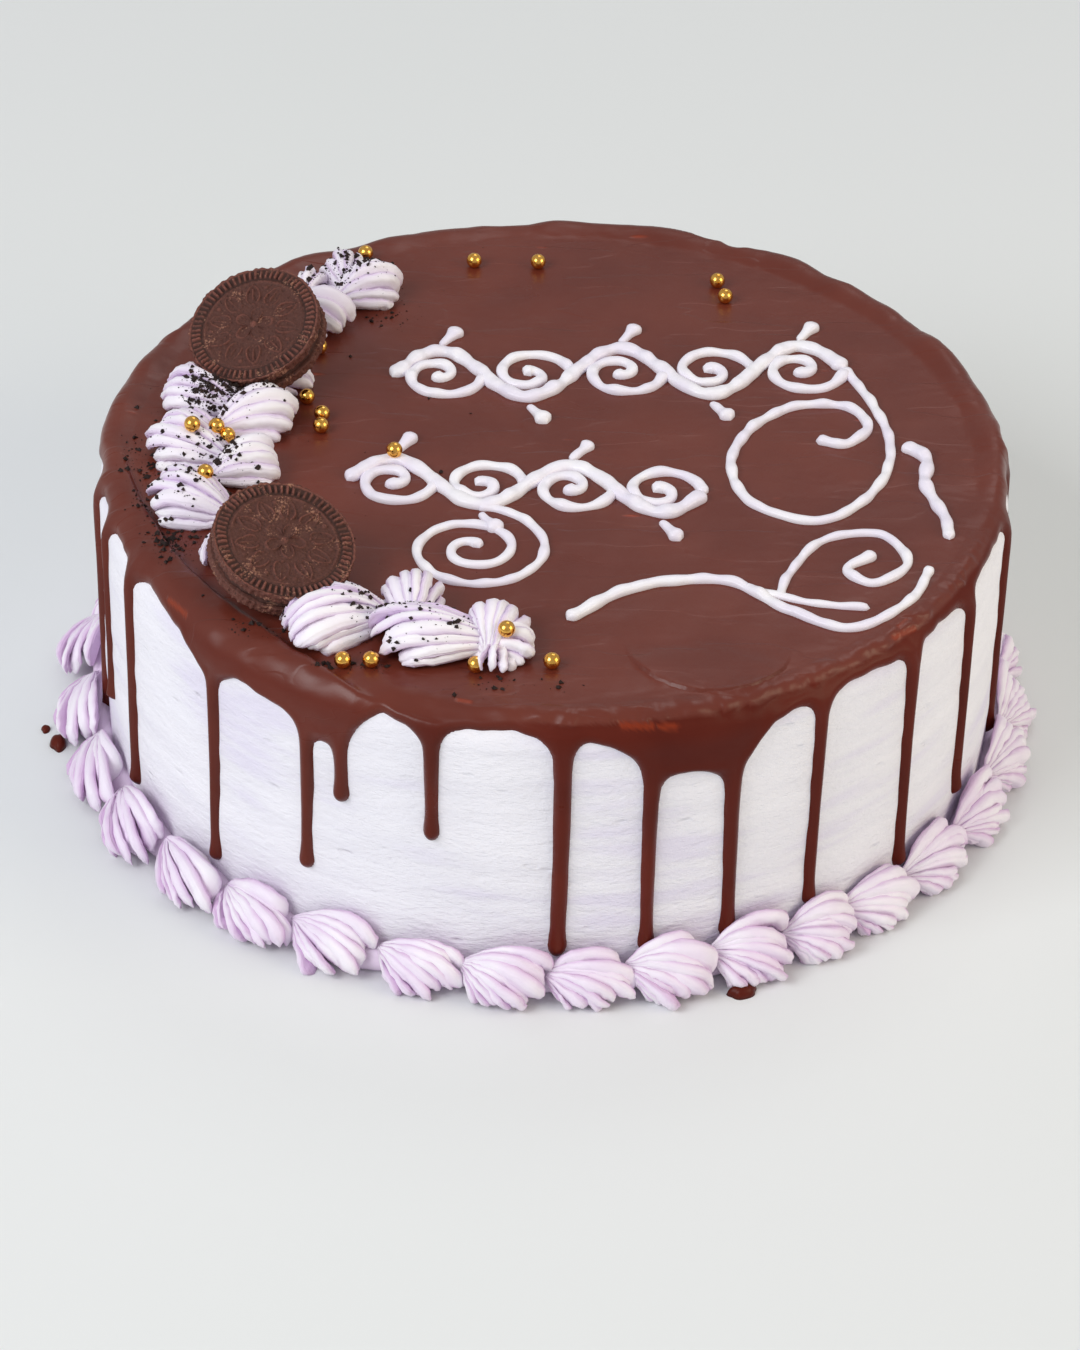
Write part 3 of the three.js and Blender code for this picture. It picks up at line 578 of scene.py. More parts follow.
def gold_material():
    """Gold-coated sugar pearl: a satin metal with a fine sugar grain, drawn at 0.8 mm so that it shows."""
    material, add, true_size = new_material("gold_coated_sugar")
    grain = add("TexNoise", {"Scale": 1 / 0.8, "Detail": 3.0}, {"Vector": true_size})
    tint = add("ValToRGB", {"stops": [(0.3, "#E5A13C"), (0.7, "#F9C56A")]}, {0: grain})
    bump = add("Bump", {"Strength": 0.5, "Distance": 0.06 * MM}, {"Height": grain})
    finish = {"Metallic": 1.0, "Roughness": 0.18}
    return finished(material, finish, {"Base Color": tint, "Normal": bump})


def wafer_material(colour, dark, light):
    """Baked cocoa biscuit: dry dark brown with a sandy grain, drawn at 0.7 mm so that it shows, with painted
    shade that darkens the pressed hollows, the edge and the underside (the piece's `press` attribute), and
    with rare light flecks of rubbed crumb."""
    material, add, true_size = new_material("baked_cocoa_biscuit")
    sand = add("TexNoise", {"Scale": 1 / 0.7, "Detail": 4.0, "Roughness": 0.6}, {"Vector": true_size})
    patch = add("TexNoise", {"Scale": 1 / 6, "Detail": 2.0}, {"Vector": true_size})
    grains = add("MapRange", {"From Min": 0.3, "From Max": 0.7}, {0: sand})
    stops = [(0.0, dark), (0.4, colour), (0.8, colour), (1.0, light)]
    base = add("ValToRGB", {"stops": stops}, {0: grains})
    press = add("Attribute", {"attribute_name": "press"}).outputs["Fac"]
    # Painted shade: the dark colour is mixed in where `press` is low.
    pressed = add("Mix", {"data_type": "RGBA", 6: opaque(dark)}, {0: press, 7: base}).outputs[2]
    both = add("Math", {"operation": "MULTIPLY"}, {0: sand, 1: patch})
    rubbed = add("MapRange", {"From Min": 0.335, "From Max": 0.40, "To Max": 0.85}, {0: both})
    flecked = add("Mix", {"data_type": "RGBA", 7: opaque(light)}, {0: rubbed, 6: pressed}).outputs[2]
    bump = add("Bump", {"Strength": 0.6, "Distance": 0.3 * MM}, {"Height": sand})
    finish = {"Roughness": 0.7, "IOR": 1.45, "Specular IOR Level": 0.4}
    return finished(material, finish, {"Base Color": flecked, "Normal": bump})


def floor_material():
    """Painted studio board: pale, matte, nearly without grain."""
    material, add, true_size = new_material("pale_studio_board")
    grain = add("TexNoise", {"Scale": 1 / 400, "Detail": 2.0}, {"Vector": true_size})
    tint = add("ValToRGB", {"stops": [(0.3, "#E5E8E8"), (0.7, "#E7E9EA")]}, {0: grain})
    return finished(material, {"Roughness": 0.8}, {"Base Color": tint})


# ------------------------------------------------------------------ frosting


def over_rim(angle, along, out):
    """A point over the rounded rim. `along` runs outward from the end of the flat top and on down the side,
    `out` is the distance off the frosting: the rim is a quarter circle, the side a straight line down."""
    turn = np.clip(along / RIM, 0, math.pi / 2)
    radius = FLAT + (RIM + out) * np.sin(turn) + np.minimum(along, 0)
    height = SIDE + (RIM + out) * np.cos(turn) - np.maximum(along - RIM_ARC, 0)
    return turned(radius, angle, height)


def scraped_relief(angle, height):
    """How far the frosting stands out: low bands from a scraper, which wander as they go round, and dents."""
    x, y = np.cos(angle) * 60, np.sin(angle) * 60
    wander = unevenness(3, 70, x, y) * 2.5
    bands = unevenness(5, 11, height + wander, x * 0.06, y * 0.06)
    return 0.1 * bands + 0.2 * unevenness(6, 38, x * 2.4, y * 2.4, height)


def frosting_points():
    """The frosted side and rim: a profile turned about the axis, with the scraped relief on its side, fading
    out over the rim, and closed by a flat base and top."""
    angle = TAU * np.arange(540) / 540
    heights = np.linspace(0, SIDE, 96)[:, None]
    arc = np.linspace(RIM_ARC, 0, 9)[1:, None]
    foot = over_rim(angle, np.full((1, 1), FOOT), -1.0)
    side = over_rim(angle, FOOT - heights, scraped_relief(angle, heights))
    rim = over_rim(angle, arc, arc / RIM_ARC * scraped_relief(angle, SIDE))
    return capped(np.concatenate([foot, side, rim]), (0, 0, 0), (0, 0, CAKE_HEIGHT))


# ------------------------------------------------------------------ chocolate


def drip_table():
    """Places, tips and widths of all drips, and the hang between them as (angle, distance). The back ones
    follow the solids' own rule: five draws a drip from a small random generator."""
    state = BACK_DRIPS["seed"]
    drawn = []
    for _ in range(5 * BACK_DRIPS["count"]):
        state = (state * 1664525 + 1013904223) % 2**32
        drawn.append(state / 2**32)
    draws = np.array(drawn).reshape(-1, 5)

    def pick(key, column):
        low, high = BACK_DRIPS[key]
        return low + (high - low) * draws[:, column]

    first, last = FRONT_DRIPS[0][0] + 360, FRONT_DRIPS[-1][0]
    number = np.arange(1, BACK_DRIPS["count"] + 1)
    angle = last + (first - last) / (len(number) + 1) * number + BACK_DRIPS["sway"] * (draws[:, 0] - 0.5)
    after, before = pick("hang", 3), pick("hang", 4)
    hang = list(FRONT_HANG)
    for k in range(len(angle)):
        hang += [(angle[k] - 3, before[k - 1] if k else 9), (angle[k] + 3, after[k])]
        if k + 1 < len(angle) and angle[k + 1] - angle[k] > 10:
            hang.append(((angle[k] + angle[k + 1]) / 2, (after[k] + before[k]) / 2))
    back = np.column_stack([angle, pick("tip", 1), pick("width", 2)])
    angles, tips, widths = np.concatenate([FRONT_DRIPS, back]).T
    return np.radians(angles) * CAKE_RADIUS, tips, widths, np.array(hang)


DRIP_PLACE, DRIP_TIP, DRIP_WIDTH, HANG = drip_table()


def hang_line():
    """The wavy lower edge as a fine table: straight lines between the given places, then a running mean."""
    fine = np.linspace(0, AROUND, 3700, endpoint=False)
    places = np.radians(HANG[:, 0]) * CAKE_RADIUS % AROUND
    order = np.argsort(places)
    raw = np.interp(fine, places[order], HANG[order, 1], period=AROUND)
    angle = fine / CAKE_RADIUS
    wave = 0.25 * unevenness(8, 9, CAKE_RADIUS * np.cos(angle), CAKE_RADIUS * np.sin(angle))
    window = np.hanning(15)
    padded = np.concatenate([raw[-7:], raw, raw[:7]])
    return fine, np.convolve(padded, window / window.sum(), "valid") + wave


HANG_PLACE, HANG_VALUE = hang_line()


def hang_at(place):
    """How far the chocolate's edge hangs at a place round the cake."""
    return np.interp(place, HANG_PLACE, HANG_VALUE, period=AROUND)


def smooth_max(a, b, ease):
    """The greater of two values, rounded where they are nearly alike."""
    near = np.maximum(ease - np.abs(a - b), 0) / ease
    return np.maximum(a, b) + near * near * ease / 4


def round_way(place, centre):
    """Distance of a place from another, the shorter way round the cake."""
    return (place - centre + AROUND / 2) % AROUND - AROUND / 2


def chocolate_reach(place, along):
    """How deep a place lies inside the chocolate's outline (negative outside): the smooth union of the
    region above the hanging edge and one round-ended run for each drip, which narrows and then swells at its
    tip. Returns it with a bell shape over each tip, 1 in the drop's middle."""
    slope = hang_at(place + 0.5) - hang_at(place - 0.5)
    reach = (hang_at(place) - along) / np.sqrt(1 + slope * slope)
    drop = 0.0
    for centre, tip, width in zip(DRIP_PLACE, DRIP_TIP, DRIP_WIDTH):
        end = FOOT - tip
        half = width / 2
        across = round_way(place - 0.3 * np.sin(along / 21 + centre), centre)
        upper = np.exp(-np.maximum(along - hang_at(centre) - 4, 0) / 14)
        bulb = bell(along, end - half, 5)
        radius = half * (0.84 + 0.24 * upper + 0.18 * bulb + 0.02 * np.sin(along / 5 + centre))
        tip_length = 1.65 * half
        past = np.maximum(along - (end - tip_length), 0)
        reach = smooth_max(reach, radius - np.hypot(across, past * radius / tip_length), 8)
        drop = np.maximum(drop, bell(along, end - 1.4 * half, 3.2) * bell(across, 0, width))
    return reach, drop


def top_relief(angle, along):
    """Unevenness of the chocolate: long swells, a ridge that runs inside the left rim and meets it at the
    front, with a hollow behind it, a raised terrace with a wandering brink on the right front rim, a fuller,
    squarer and lumpy rim at the back, the spatula's step, and a slight wave of the edge."""
    x, y = (FLAT + along) * np.cos(angle), (FLAT + along) * np.sin(angle)
    degrees = np.degrees(angle) % 360
    relief = 0.26 * unevenness(11, 80, x, y) + 0.15 * unevenness(12, 26, x, y)
    relief += 0.05 * unevenness(13, 9, x, 2 * y)

    left = between(degrees, *LEFT_RIDGE)
    past = along - np.interp(degrees, *RIDGE_LINE)
    crest = 1.5 + 0.3 * unevenness(16, 14, x, y)
    relief += left * crest * smoothstep((past + 1.0) / 1.3) * np.exp(-np.maximum(past - 1.5, 0) / 12)
    relief -= left * 0.6 * bell(past, -3.2, 2.6)

    brink = np.interp(degrees, *BRINK_LINE) + 0.7 * unevenness(19, 13, x, y) + 0.25 * unevenness(20, 4, x, y)
    rough = 0.95 + 0.4 * unevenness(17, 11, x, y) + 0.22 * unevenness(18, 3.6, x, y)
    terrace = smoothstep((along + 1) / 5) * smoothstep((brink - along) / 1.2 + 1)
    relief += between(degrees, *FRONT_TERRACE) * rough * terrace

    signed = (degrees + 90) % 360 - 90
    fuller = np.interp(signed, *RIM_LUMPS) + 0.8 * np.maximum(unevenness(14, 30, x, y), -0.4)
    relief += between(signed, *BACK_RIM) * fuller * bell(along, 5.8, 4.4)

    step_x, step_y = x - SPATULA_STEP["middle"][0], y - SPATULA_STEP["middle"][1]
    inside = SPATULA_STEP["radius"] - np.hypot(step_x, step_y)
    arc = between(np.degrees(np.arctan2(step_y, step_x)) % 360, *SPATULA_STEP["arc"])
    step = smoothstep(inside / 0.9 + 0.5) * np.exp(-np.maximum(inside, 0) / 16)
    relief += arc * SPATULA_STEP["height"] * step
    return relief + 0.3 * unevenness(15, 24, x, y) * bell(along, 4, 5) * smoothstep(along + 3)


def chocolate_out(place, along):
    """Height of the chocolate off the frosting: a round-shouldered skin that dips under the frosting outside
    its outline, thicker over the top and in the drips, with a bead along its edge on the side."""
    reach, drop = chocolate_reach(place, along)
    on_side = smoothstep((along - 2) / 14)
    drip_depth = smoothstep((along - hang_at(place) - 1) / 8)
    full = SKIN + on_side * (-0.55 + 0.3 * drip_depth + 0.6 * drop)
    shoulder, dip, lead = 2.5, 1.0, 0.15
    share = np.clip((reach + lead) / (shoulder + lead), 0, 1)
    height = (full + dip) * np.sqrt(np.maximum(1 - (1 - share) ** 2, 0)) - dip
    bead = 0.28 * bell(reach, 2.2, 1.4) * on_side
    relief = top_relief(place / CAKE_RADIUS, along) * smoothstep(reach / 6) * (1 - 0.6 * on_side)
    return height + bead * (share > 0) + relief - 0.25 * np.clip(-reach - lead, 0, 2)


def chocolate_columns():
    """Places of the grid's columns round the cake: close together across each drip, wider between the drips.
    Returns the places and, for each drip, its first and last column."""
    order = np.argsort(DRIP_PLACE % AROUND)
    centres = (DRIP_PLACE % AROUND)[order]
    halves = DRIP_WIDTH[order] / 2 + 2.4
    next_edge = np.append(centres[1:] - halves[1:], centres[0] + AROUND - halves[0])
    places, groups = [], []
    for centre, half, edge in zip(centres, halves, next_edge):
        groups.append((len(places), len(places) + 20))
        places += list(centre + half * np.linspace(-1, 1, 21))
        gap = edge - centre - half
        count = max(3, int(round(gap / 1.25)))
        places += list(centre + half + gap * np.arange(1, count) / count)
    # Up to three more columns in the last gap make the number one that can be halved twice.
    for k in range(-len(places) % 4):
        at = len(places) - 2 - 2 * k
        places.insert(at, (places[at - 1] + places[at]) / 2)
    return np.array(places), groups


def chocolate_points():
    """The chocolate as one closed skin. The flat top is a polar grid with fewer columns towards the middle;
    round it lies a fine grid down to just past the hanging edge; below that each drip has its own strip of
    rows, closest over its last 9 mm. Inside, a coarse skin under the frosting closes it."""
    places, groups = chocolate_columns()
    line = hang_at(places)
    points, faces = [], []

    def add(rows):
        index = sum(map(len, points)) + np.arange(rows[..., 0].size).reshape(rows.shape[:2])
        points.append(rows.reshape(-1, 3))
        return index

    def surface(columns, rows):
        place, along = np.broadcast_arrays(columns, rows)
        return add(over_rim(place / CAKE_RADIUS, along, chocolate_out(place, along)))

    def quads(*corners):
        faces.append(np.stack(corners, axis=-1).reshape(-1, 4))

    def join(above, below):
        quads(above, below, np.roll(below, -1), np.roll(above, -1))

    def join_halved(coarse, fine):
        after, even, odd, next_even = np.roll(coarse, -1), fine[0::2], fine[1::2], np.roll(fine[0::2], -1)
        for triple in ((coarse, even, odd), (coarse, odd, after), (after, odd, next_even)):
            faces.append(np.stack(triple, axis=-1))

    quarter = surface(places[::4], np.linspace(3 - FLAT, -62, 25)[:, None])
    half = surface(places[::2], np.linspace(-60, -8, 26)[:, None])
    to_edge = -6 + (line + 3) * np.linspace(0, 1, 27)[:, None]
    past_edge = line - 3 + np.linspace(0, 1, 15)[1:, None] * 7.2
    fine = surface(places, np.concatenate([to_edge, past_edge]))
    middle = add(turned(0.0, 0.0, TOP_Z + top_relief(np.zeros(1), np.array([-FLAT])))[None])[0, 0]
    faces.append(fan_faces(middle, quarter[0]))
    for rows in (quarter, half, fine):
        for above, below in zip(rows, rows[1:]):
            join(above, below)
    join_halved(quarter[-1], half[0])
    join_halved(half[-1], fine[0])

    keep = np.ones(len(places), bool)
    for first, last in groups:
        keep[first + 1 : last] = False
        own = slice(first, last + 1)
        drip = np.argmin(np.abs(round_way(DRIP_PLACE, places[own].mean())))
        end = FOOT - DRIP_TIP[drip] + 1.8
        start = line[own] + 4.2
        close = 9 / (end - start.min())
        down = np.concatenate([np.linspace(0, 1, 26)[1:-1] * (1 - close), 1 - np.linspace(1, 0, 18) * close])
        strip = surface(places[own], start + (end - start) * down[:, None])
        whole = np.vstack([fine[-1, own], strip])
        quads(whole[:-1, :-1], whole[1:, :-1], whole[1:, 1:], whole[:-1, 1:])
        quads(whole[:-1, 0], whole[:-1, -1], whole[1:, -1], whole[1:, 0])
        bottom = whole[-1]
        faces.append(np.stack([np.full(len(bottom) - 2, bottom[0]), bottom[2:], bottom[1:-1]], axis=-1))
    kept = places[keep]
    inward = np.minimum(hang_at(kept), 20) * np.array([[0.7], [0.35], [0.0]])
    inner = add(over_rim(kept / CAKE_RADIUS, inward, -np.array([[1.3], [1.3], [1.0]])))
    hub = add(np.array([[[0, 0, CAKE_HEIGHT - 1.0]]]))[0, 0]
    for above, below in zip((fine[-1][keep], *inner), inner):
        join(above, below)
    faces.append(fan_faces(hub, inner[2], flip=True))
    return np.concatenate(points), faces


def chocolate_marks(points):
    """Two values for each point of the chocolate. The first is how much painted shade it has, the darker tone
    of the side:
    it begins in a soft line on the rim, weaker at the left where the key light falls, and in a crisp one under
    the terrace at the front. The second is how thin it lies, along short scraped lines."""
    x, y, z = points.T
    degrees = np.degrees(np.arctan2(y, x)) % 360
    front = between(degrees, *FRONT_TERRACE)
    crisp = smoothstep((CAKE_HEIGHT + 0.7 - z) / 0.9)
    soft = smoothstep((CAKE_HEIGHT + 0.6 - z) / 4.6) * (1 - 0.45 * between(degrees, *LEFT_LESS_SHADE))
    thin = np.zeros(len(points))
    for start, end, half_width in SCRAPES:
        way = np.subtract(end, start)
        share = np.clip((points - start) @ way / (way @ way), 0, 1)
        apart = np.linalg.norm(points - start - share[:, None] * way, axis=1)
        thin = np.maximum(thin, SCRAPE_STRENGTH * smoothstep(1.5 - apart / half_width))
    return {"side": front * crisp + (1 - front) * soft, "thin": thin}


def chocolate_level(x, y):
    """Height of the chocolate's surface at places on the flat top."""
    return TOP_Z + top_relief(np.arctan2(y, x), np.hypot(x, y) - FLAT)


# ------------------------------------------------------------------ scrollwork


def scroll_lines():
    """Every piped line as (points, width at the start, at the end): the vines are sine waves about a sloping
    line, their shoots and the spiral shrink as they turn, the leaves are short strokes, the rest smooth
    curves through their places."""
    lines = []
    for vine in VINES:
        x0, y0 = vine["start"]
        step, rise, slope = vine["half_wave"], vine["rise"], vine["slope"]
        x = np.linspace(0, step * vine["count"], 40 * vine["count"])
        wave = np.stack([x0 + x, y0 + slope * x / step + rise * np.sin(math.pi * x / step)], axis=1)
        lines.append((wave, VINE_WIDTH, VINE_WIDTH))
        for k in range(vine["count"]):
            side = -1 if k % 2 else 1
            middle = np.array([x0 + step * (k + 0.5), y0 + slope * (k + 0.5)])
            share = np.linspace(0, 1, 90)
            turn = -TAU * SHOOT["turns"] * share
            radius = (step / 2 - SHOOT["inner"]) * (1 - share) ** SHOOT["taper"] + SHOOT["inner"]
            curl = middle + np.stack([radius * np.cos(turn), side * (radius * np.sin(turn) + share)], axis=1)
            lines.append((curl, SHOOT["width"], SHOOT["width"]))
            lean = math.radians(side * (90 - LEAF["lean"]))
            foot = middle + [0, side * (rise + LEAF["clear"])]
            tip = foot + LEAF["length"] * np.array([math.cos(lean), math.sin(lean)])
            lines.append((np.array([foot, (foot + tip) / 2, tip]), LEAF["stem"], LEAF["tip"]))
    share = np.linspace(0, 1, 220)
    turn = np.radians(SPIRAL["start"] + 360 * SPIRAL["turns"] * share)
    scale = 1 + (SPIRAL["inner"] - 1) * share
    round_it = np.stack([scale * np.cos(turn), scale * np.sin(turn)], axis=1)
    lines.append((SPIRAL["middle"] + round_it * SPIRAL["radii"], SPIRAL["width"], SPIRAL["width"]))
    return lines + [(smooth_curve(places, 1.0), first, last) for places, first, last in FREE_LINES]


def piped_line(points, first_width, last_width, seed):
    """One piped line: a flattened round rope along the points. Its width wavers, its ends are round, and a
    blob sits where the nozzle stopped."""
    path = respaced(points, LINE_STEP)
    count = len(path)
    share = np.linspace(0, 1, count)
    length = LINE_STEP * count
    at = share * length
    width = (first_width + (last_width - first_width) * share) * (1 + 0.12 * unevenness(seed, 13, at))
    width = width * (1 + 0.28 * bell(at, length - 2, 2.2) + 0.15 * bell(at, 2, 2.5))
    heading = unit(np.gradient(path, axis=0))
    across = np.stack([-heading[:, 1], heading[:, 0]], axis=1)
    path = path + across * (0.15 * unevenness(seed + 2, 16, at))[:, None]
    to_end = np.minimum(np.minimum(at, length - at) / (width / 2), 1)
    round_off = np.sqrt(np.clip(1 - (1 - to_end) ** 2, 0.02, 1))
    high = np.minimum(0.62 * width, 3.0) * (1 + 0.08 * unevenness(seed + 3, 9, at)) * np.sqrt(round_off)
    centres = np.column_stack([path, chocolate_level(*path.T) - 0.5 + 0.42 * high])
    side = np.column_stack([across, np.zeros(count)])
    tail, head = centres[0] - [*heading[0] * 0.2, 0], centres[-1] + [*heading[-1] * 0.2, 0]
    cosine, sine = circle(16)
    outline = powered(cosine, 0.8), powered(sine, 0.7)
    wide, tall = width / 2 * round_off, 0.56 * high + 0.3
    return tubes(centres[None], side[None], UPWARD, wide[None], tall[None], tail[None], head[None], outline)


# ------------------------------------------------------------------ piped shells


def pleated_ribs(corners, rng, overlap, widest, depth, lean, point):
    """Ribs of star-nozzle shells. `corners` holds four points for each rib of each shell, and a rib runs on
    the cubic Bezier curve through them from the tail to the mouth. Its section is an ellipse leaned to one
    side like a pleat. Its width follows the distance to its neighbours, so that they overlap in creases, up
    to a widest value, past which the mouth parts into tongues, the more pointed the higher `point`. Near the
    mouth it frills, by a sine along the rib that is out of step from rib to rib. Returns points, faces, how
    exposed each point is (0 in a crease, 1 on a crest) and a number that only changes across the ribs."""
    a = RIB_SHARES[:, None]
    p0, p1, p2, p3 = (corners[:, :, k, None, :] for k in range(4))
    centre = (1 - a) ** 3 * p0 + 3 * a * (1 - a) ** 2 * p1 + 3 * a**2 * (1 - a) * p2 + a**3 * p3
    shells, ribs, rings = centre.shape[:3]
    count = shells * ribs
    forward = unit(np.gradient(centre, axis=2))
    lateral = np.gradient(centre, axis=1)
    lateral = lateral - (lateral * forward).sum(-1, keepdims=True) * forward
    spacing = np.linalg.norm(lateral, axis=-1)
    side = unit(lateral)
    up = np.cross(forward, side)
    number = np.arange(count).reshape(shells, ribs, 1)
    frill = np.sin(2.3 * number + 7 * RIB_SHARES) * smoothstep((RIB_SHARES - 0.45) / 0.4)
    centre = centre + 0.6 * frill[..., None] * up + 0.3 * np.roll(frill, 1, axis=1)[..., None] * side
    vary = rng.uniform(0.82, 1.28, (shells, ribs, 1))
    cap = np.maximum(1 - np.clip((RIB_SHARES - 0.78) / 0.22, 0, 1) ** 2, 0) ** point
    wide = np.clip(overlap * spacing, 0.4, widest) * vary * cap
    high = wide * depth * rng.uniform(0.85, 1.15, vary.shape)
    mouth = centre[:, :, -1] + forward[:, :, -1] * 0.1
    cosine, sine = circle(RIB_SIDES)
    pleat = powered(cosine, 1.3)
    outline = pleat, powered(sine, 1.6) + lean * pleat
    arrays = (v.reshape(count, *v.shape[2:]) for v in (centre, side, up, wide, high, corners[:, :, 0], mouth))
    points, faces = tubes(*arrays, outline)
    rough = [0.27 * unevenness(seed, 2.8, *points.T, waves=20) for seed in (61, 62, 63)]
    points = points + np.stack(rough, axis=-1)
    # How exposed a point is, for the cream's painted crease shade: 0 in a crease, 1 on a crest, 0.6 at the
    # ends.
    crest = np.tile(smoothstep((sine - 0.2) / 0.75), rings)
    unshaded_share = np.tile([*crest, 0.6, 0.6], count)
    across = np.tile(3 * sine, rings)
    strands = 7 * np.arange(count)[:, None] + np.array([*across, across[0], across[-1]])
    return points, faces, unshaded_share, strands.ravel()


def border_shells():
    """Middle angle (degrees) and length of each border shell."""
    gap = FRONT_SHELLS[0] + 360 - FRONT_SHELLS[-1]
    back = FRONT_SHELLS[-1] + gap * np.arange(1, BACK_SHELLS + 1) / (BACK_SHELLS + 1)
    angles = np.concatenate([FRONT_SHELLS, back])
    around = np.concatenate([[angles[-1] - 360], angles, [angles[0] + 360]])
    return angles, np.radians((around[2:] - around[:-2]) / 2) * BORDER_CIRCLE


def foot_core(angles):
    """The cream inside the border: a ring whose round section swells from each shell's tail to its mouth.
    Returns points, faces, and how exposed and across the ribs each point is."""
    turn = TAU * np.arange(660) / 660
    middles = np.sort(np.radians(angles) % TAU)
    middles = np.concatenate([middles[-1:] - TAU, middles, middles[:1] + TAU])
    share = np.interp(turn, middles, np.arange(len(middles))) % 1
    wave = unevenness(71, 9, 160 * np.cos(turn), 160 * np.sin(turn))
    size = (4.0 + 1.1 * np.cos(TAU * (share - 0.12)) + 0.2 * wave)[:, None]
    cosine, sine = circle(RIB_SIDES)
    rings = turned(CAKE_RADIUS + 2.6 + size * cosine, turn[:, None], 4.2 + 1.25 * size * sine)
    points = rings.reshape(-1, 3)
    quads = grid_faces(len(turn) + 1, RIB_SIDES)[:, ::-1] % len(points)
    # The core gets half of the cream's painted crease shade all over.
    return points, [quads, np.zeros((0, 3), int)], np.full(len(points), 0.5), np.zeros(len(points))


def border_cream(per_shell):
    """The foot border. A shell is a fan of ribs from its pointed tail, midway up, over a mound to a curved
    mouth that runs from the foot on the left, out and round, and up the side of the cake; the upper ribs
    curl back. Coordinates are along the foot, out from the cake and up, then bent round the cake."""
    angles, lengths = border_shells()
    rng = np.random.default_rng(21)
    shells = len(angles)
    q = (np.arange(per_shell) / (per_shell - 1))[None] + rng.uniform(-0.035, 0.035, (shells, per_shell))
    q = np.clip(q, 0, 1)
    mouth = np.stack([np.interp(q, MOUTH_SHARE, MOUTH[:, k]) for k in range(3)], axis=-1)
    tail = np.broadcast_to(EVEN_SHELL["tail"] + rng.normal(0, 0.6, (shells, 1, 3)), mouth.shape)
    longer = rng.uniform(0.88, 1.08, (shells, per_shell, 1))
    end = tail + (mouth - tail) * longer + rng.normal(0, 0.55, mouth.shape)
    first, second, way = (np.interp(q, BULGE_SHARE, BULGE[key])[..., None] for key in BULGE)
    outward = np.concatenate([0 * way, np.cos(np.radians(way)), np.sin(np.radians(way))], axis=-1)
    swell = rng.uniform(0.88, 1.12, (shells, 1, 1))
    hook = (smoothstep((q - 0.6) / 0.3) * rng.uniform(0.4, 1.3, (shells, 1)))[..., None]
    lift = rng.normal(0, 0.7, (shells, per_shell, 1))
    p1 = tail + 0.30 * (end - tail) + outward * first * swell
    p2 = tail + 0.82 * (end - tail) + outward * (second * swell + lift) + hook * np.array([3.0, 0.5, 0.5])
    p3 = end + hook * np.array([-3.0, 0.5, -3.0])
    forth, out, high = np.moveaxis(np.stack([tail, p1, p2, p3], axis=2), -1, 0)
    stretch = (lengths / EVEN_SHELL["length"])[:, None, None]
    size = rng.uniform(0.95, 1.06, (shells, 1, 1))
    reach = np.interp(angles, *BORDER_REACH)[:, None, None]
    turn = np.radians(angles)[:, None, None] + (forth - EVEN_SHELL["middle"]) * stretch / BORDER_CIRCLE
    corners = turned(CAKE_RADIUS + 0.2 + out * size * reach, turn, high * size)
    points, *rest = joined([pleated_ribs(corners, rng, **BORDER_RIBS), foot_core(angles)])
    points[:, 2] = np.maximum(points[:, 2], 0.0)
    return points, *rest


def crescent_cream():
    """The shells on top: fans of ribs from a tail on the chocolate up over a dome and down to a round mouth,
    the side ribs lower and shorter, bent along their length, kept clear of the biscuits. Coordinates are
    along, across and up, then turned to the shell's heading."""
    rng = np.random.default_rng(33)
    parts = []
    for k, (tail_at, heading, length, width, height, bend, count) in enumerate(CRESCENT):
        phi = np.radians(np.linspace(174, 6, count)) + rng.uniform(-0.07, 0.07, count)
        rise, across = height * np.sin(phi), width / 2 * np.cos(phi)
        reach = length * (0.66 + 0.34 * np.sin(phi) ** 0.8) * rng.uniform(0.93, 1.05, count)
        tail = np.stack([0 * phi, 0.14 * across, 2.0 + 0.2 * rise], axis=-1)
        p1 = np.stack([0.26 * length + 0 * phi, 0.52 * across, 2.4 + 0.78 * rise], axis=-1)
        p2 = np.stack([0.90 * reach, 1.08 * across, 1.6 + 1.10 * rise], axis=-1)
        p3 = np.stack([reach, 0.88 * across, 1.0 + 0.12 * rise], axis=-1)
        corners = np.stack([tail, p1, p2, p3], axis=1)
        forth, aside, high = np.moveaxis(corners * (1 + rng.normal(0, 0.02, corners.shape)), -1, 0)
        turn = np.radians(heading + bend * (forth / length - 0.5) * 1.6)
        x = tail_at[0] + forth * np.cos(turn) - aside * np.sin(turn)
        y = tail_at[1] + forth * np.sin(turn) + aside * np.cos(turn)
        corners = np.stack([x, y, TOP_Z - 0.3 + high], axis=-1)[None]
        *ribs, strands = pleated_ribs(corners, rng, widest=0.12 * width + 0.4, **CRESCENT_RIBS)
        parts.append((*ribs, strands + 90 * k))
    points, *rest = joined(parts)
    points = clear_of_biscuits(points)
    points[:, 2] = np.maximum(points[:, 2], TOP_Z - 0.6)
    return points, *rest


# ------------------------------------------------------------------ biscuits


def biscuit_matrix(at, lift, tilt, facing):
    """Place of a biscuit: its face leaned towards `facing` about its underside's middle, which is lifted."""
    turn = math.radians(facing)
    axis = Vector((-math.sin(turn), math.cos(turn), 0))
    return np.array(Matrix.Translation((*at, TOP_Z + lift)) @ Matrix.Rotation(math.radians(tilt), 4, axis))


def clear_of_biscuits(points):
    """Pushes points that lie inside a biscuit straight down its own axis, to just under it."""
    for _, *place in BISCUITS:
        matrix = biscuit_matrix(*place)
        local = placed(points, np.linalg.inv(matrix))
        inside = (np.hypot(local[:, 0], local[:, 1]) < BISCUIT["radius"] + 0.6) & (local[:, 2] > -0.2)
        local[inside, 2] = -0.2 - 0.02 * local[inside, 2]
        points = np.where(inside[:, None], placed(local, matrix), points)
    return points


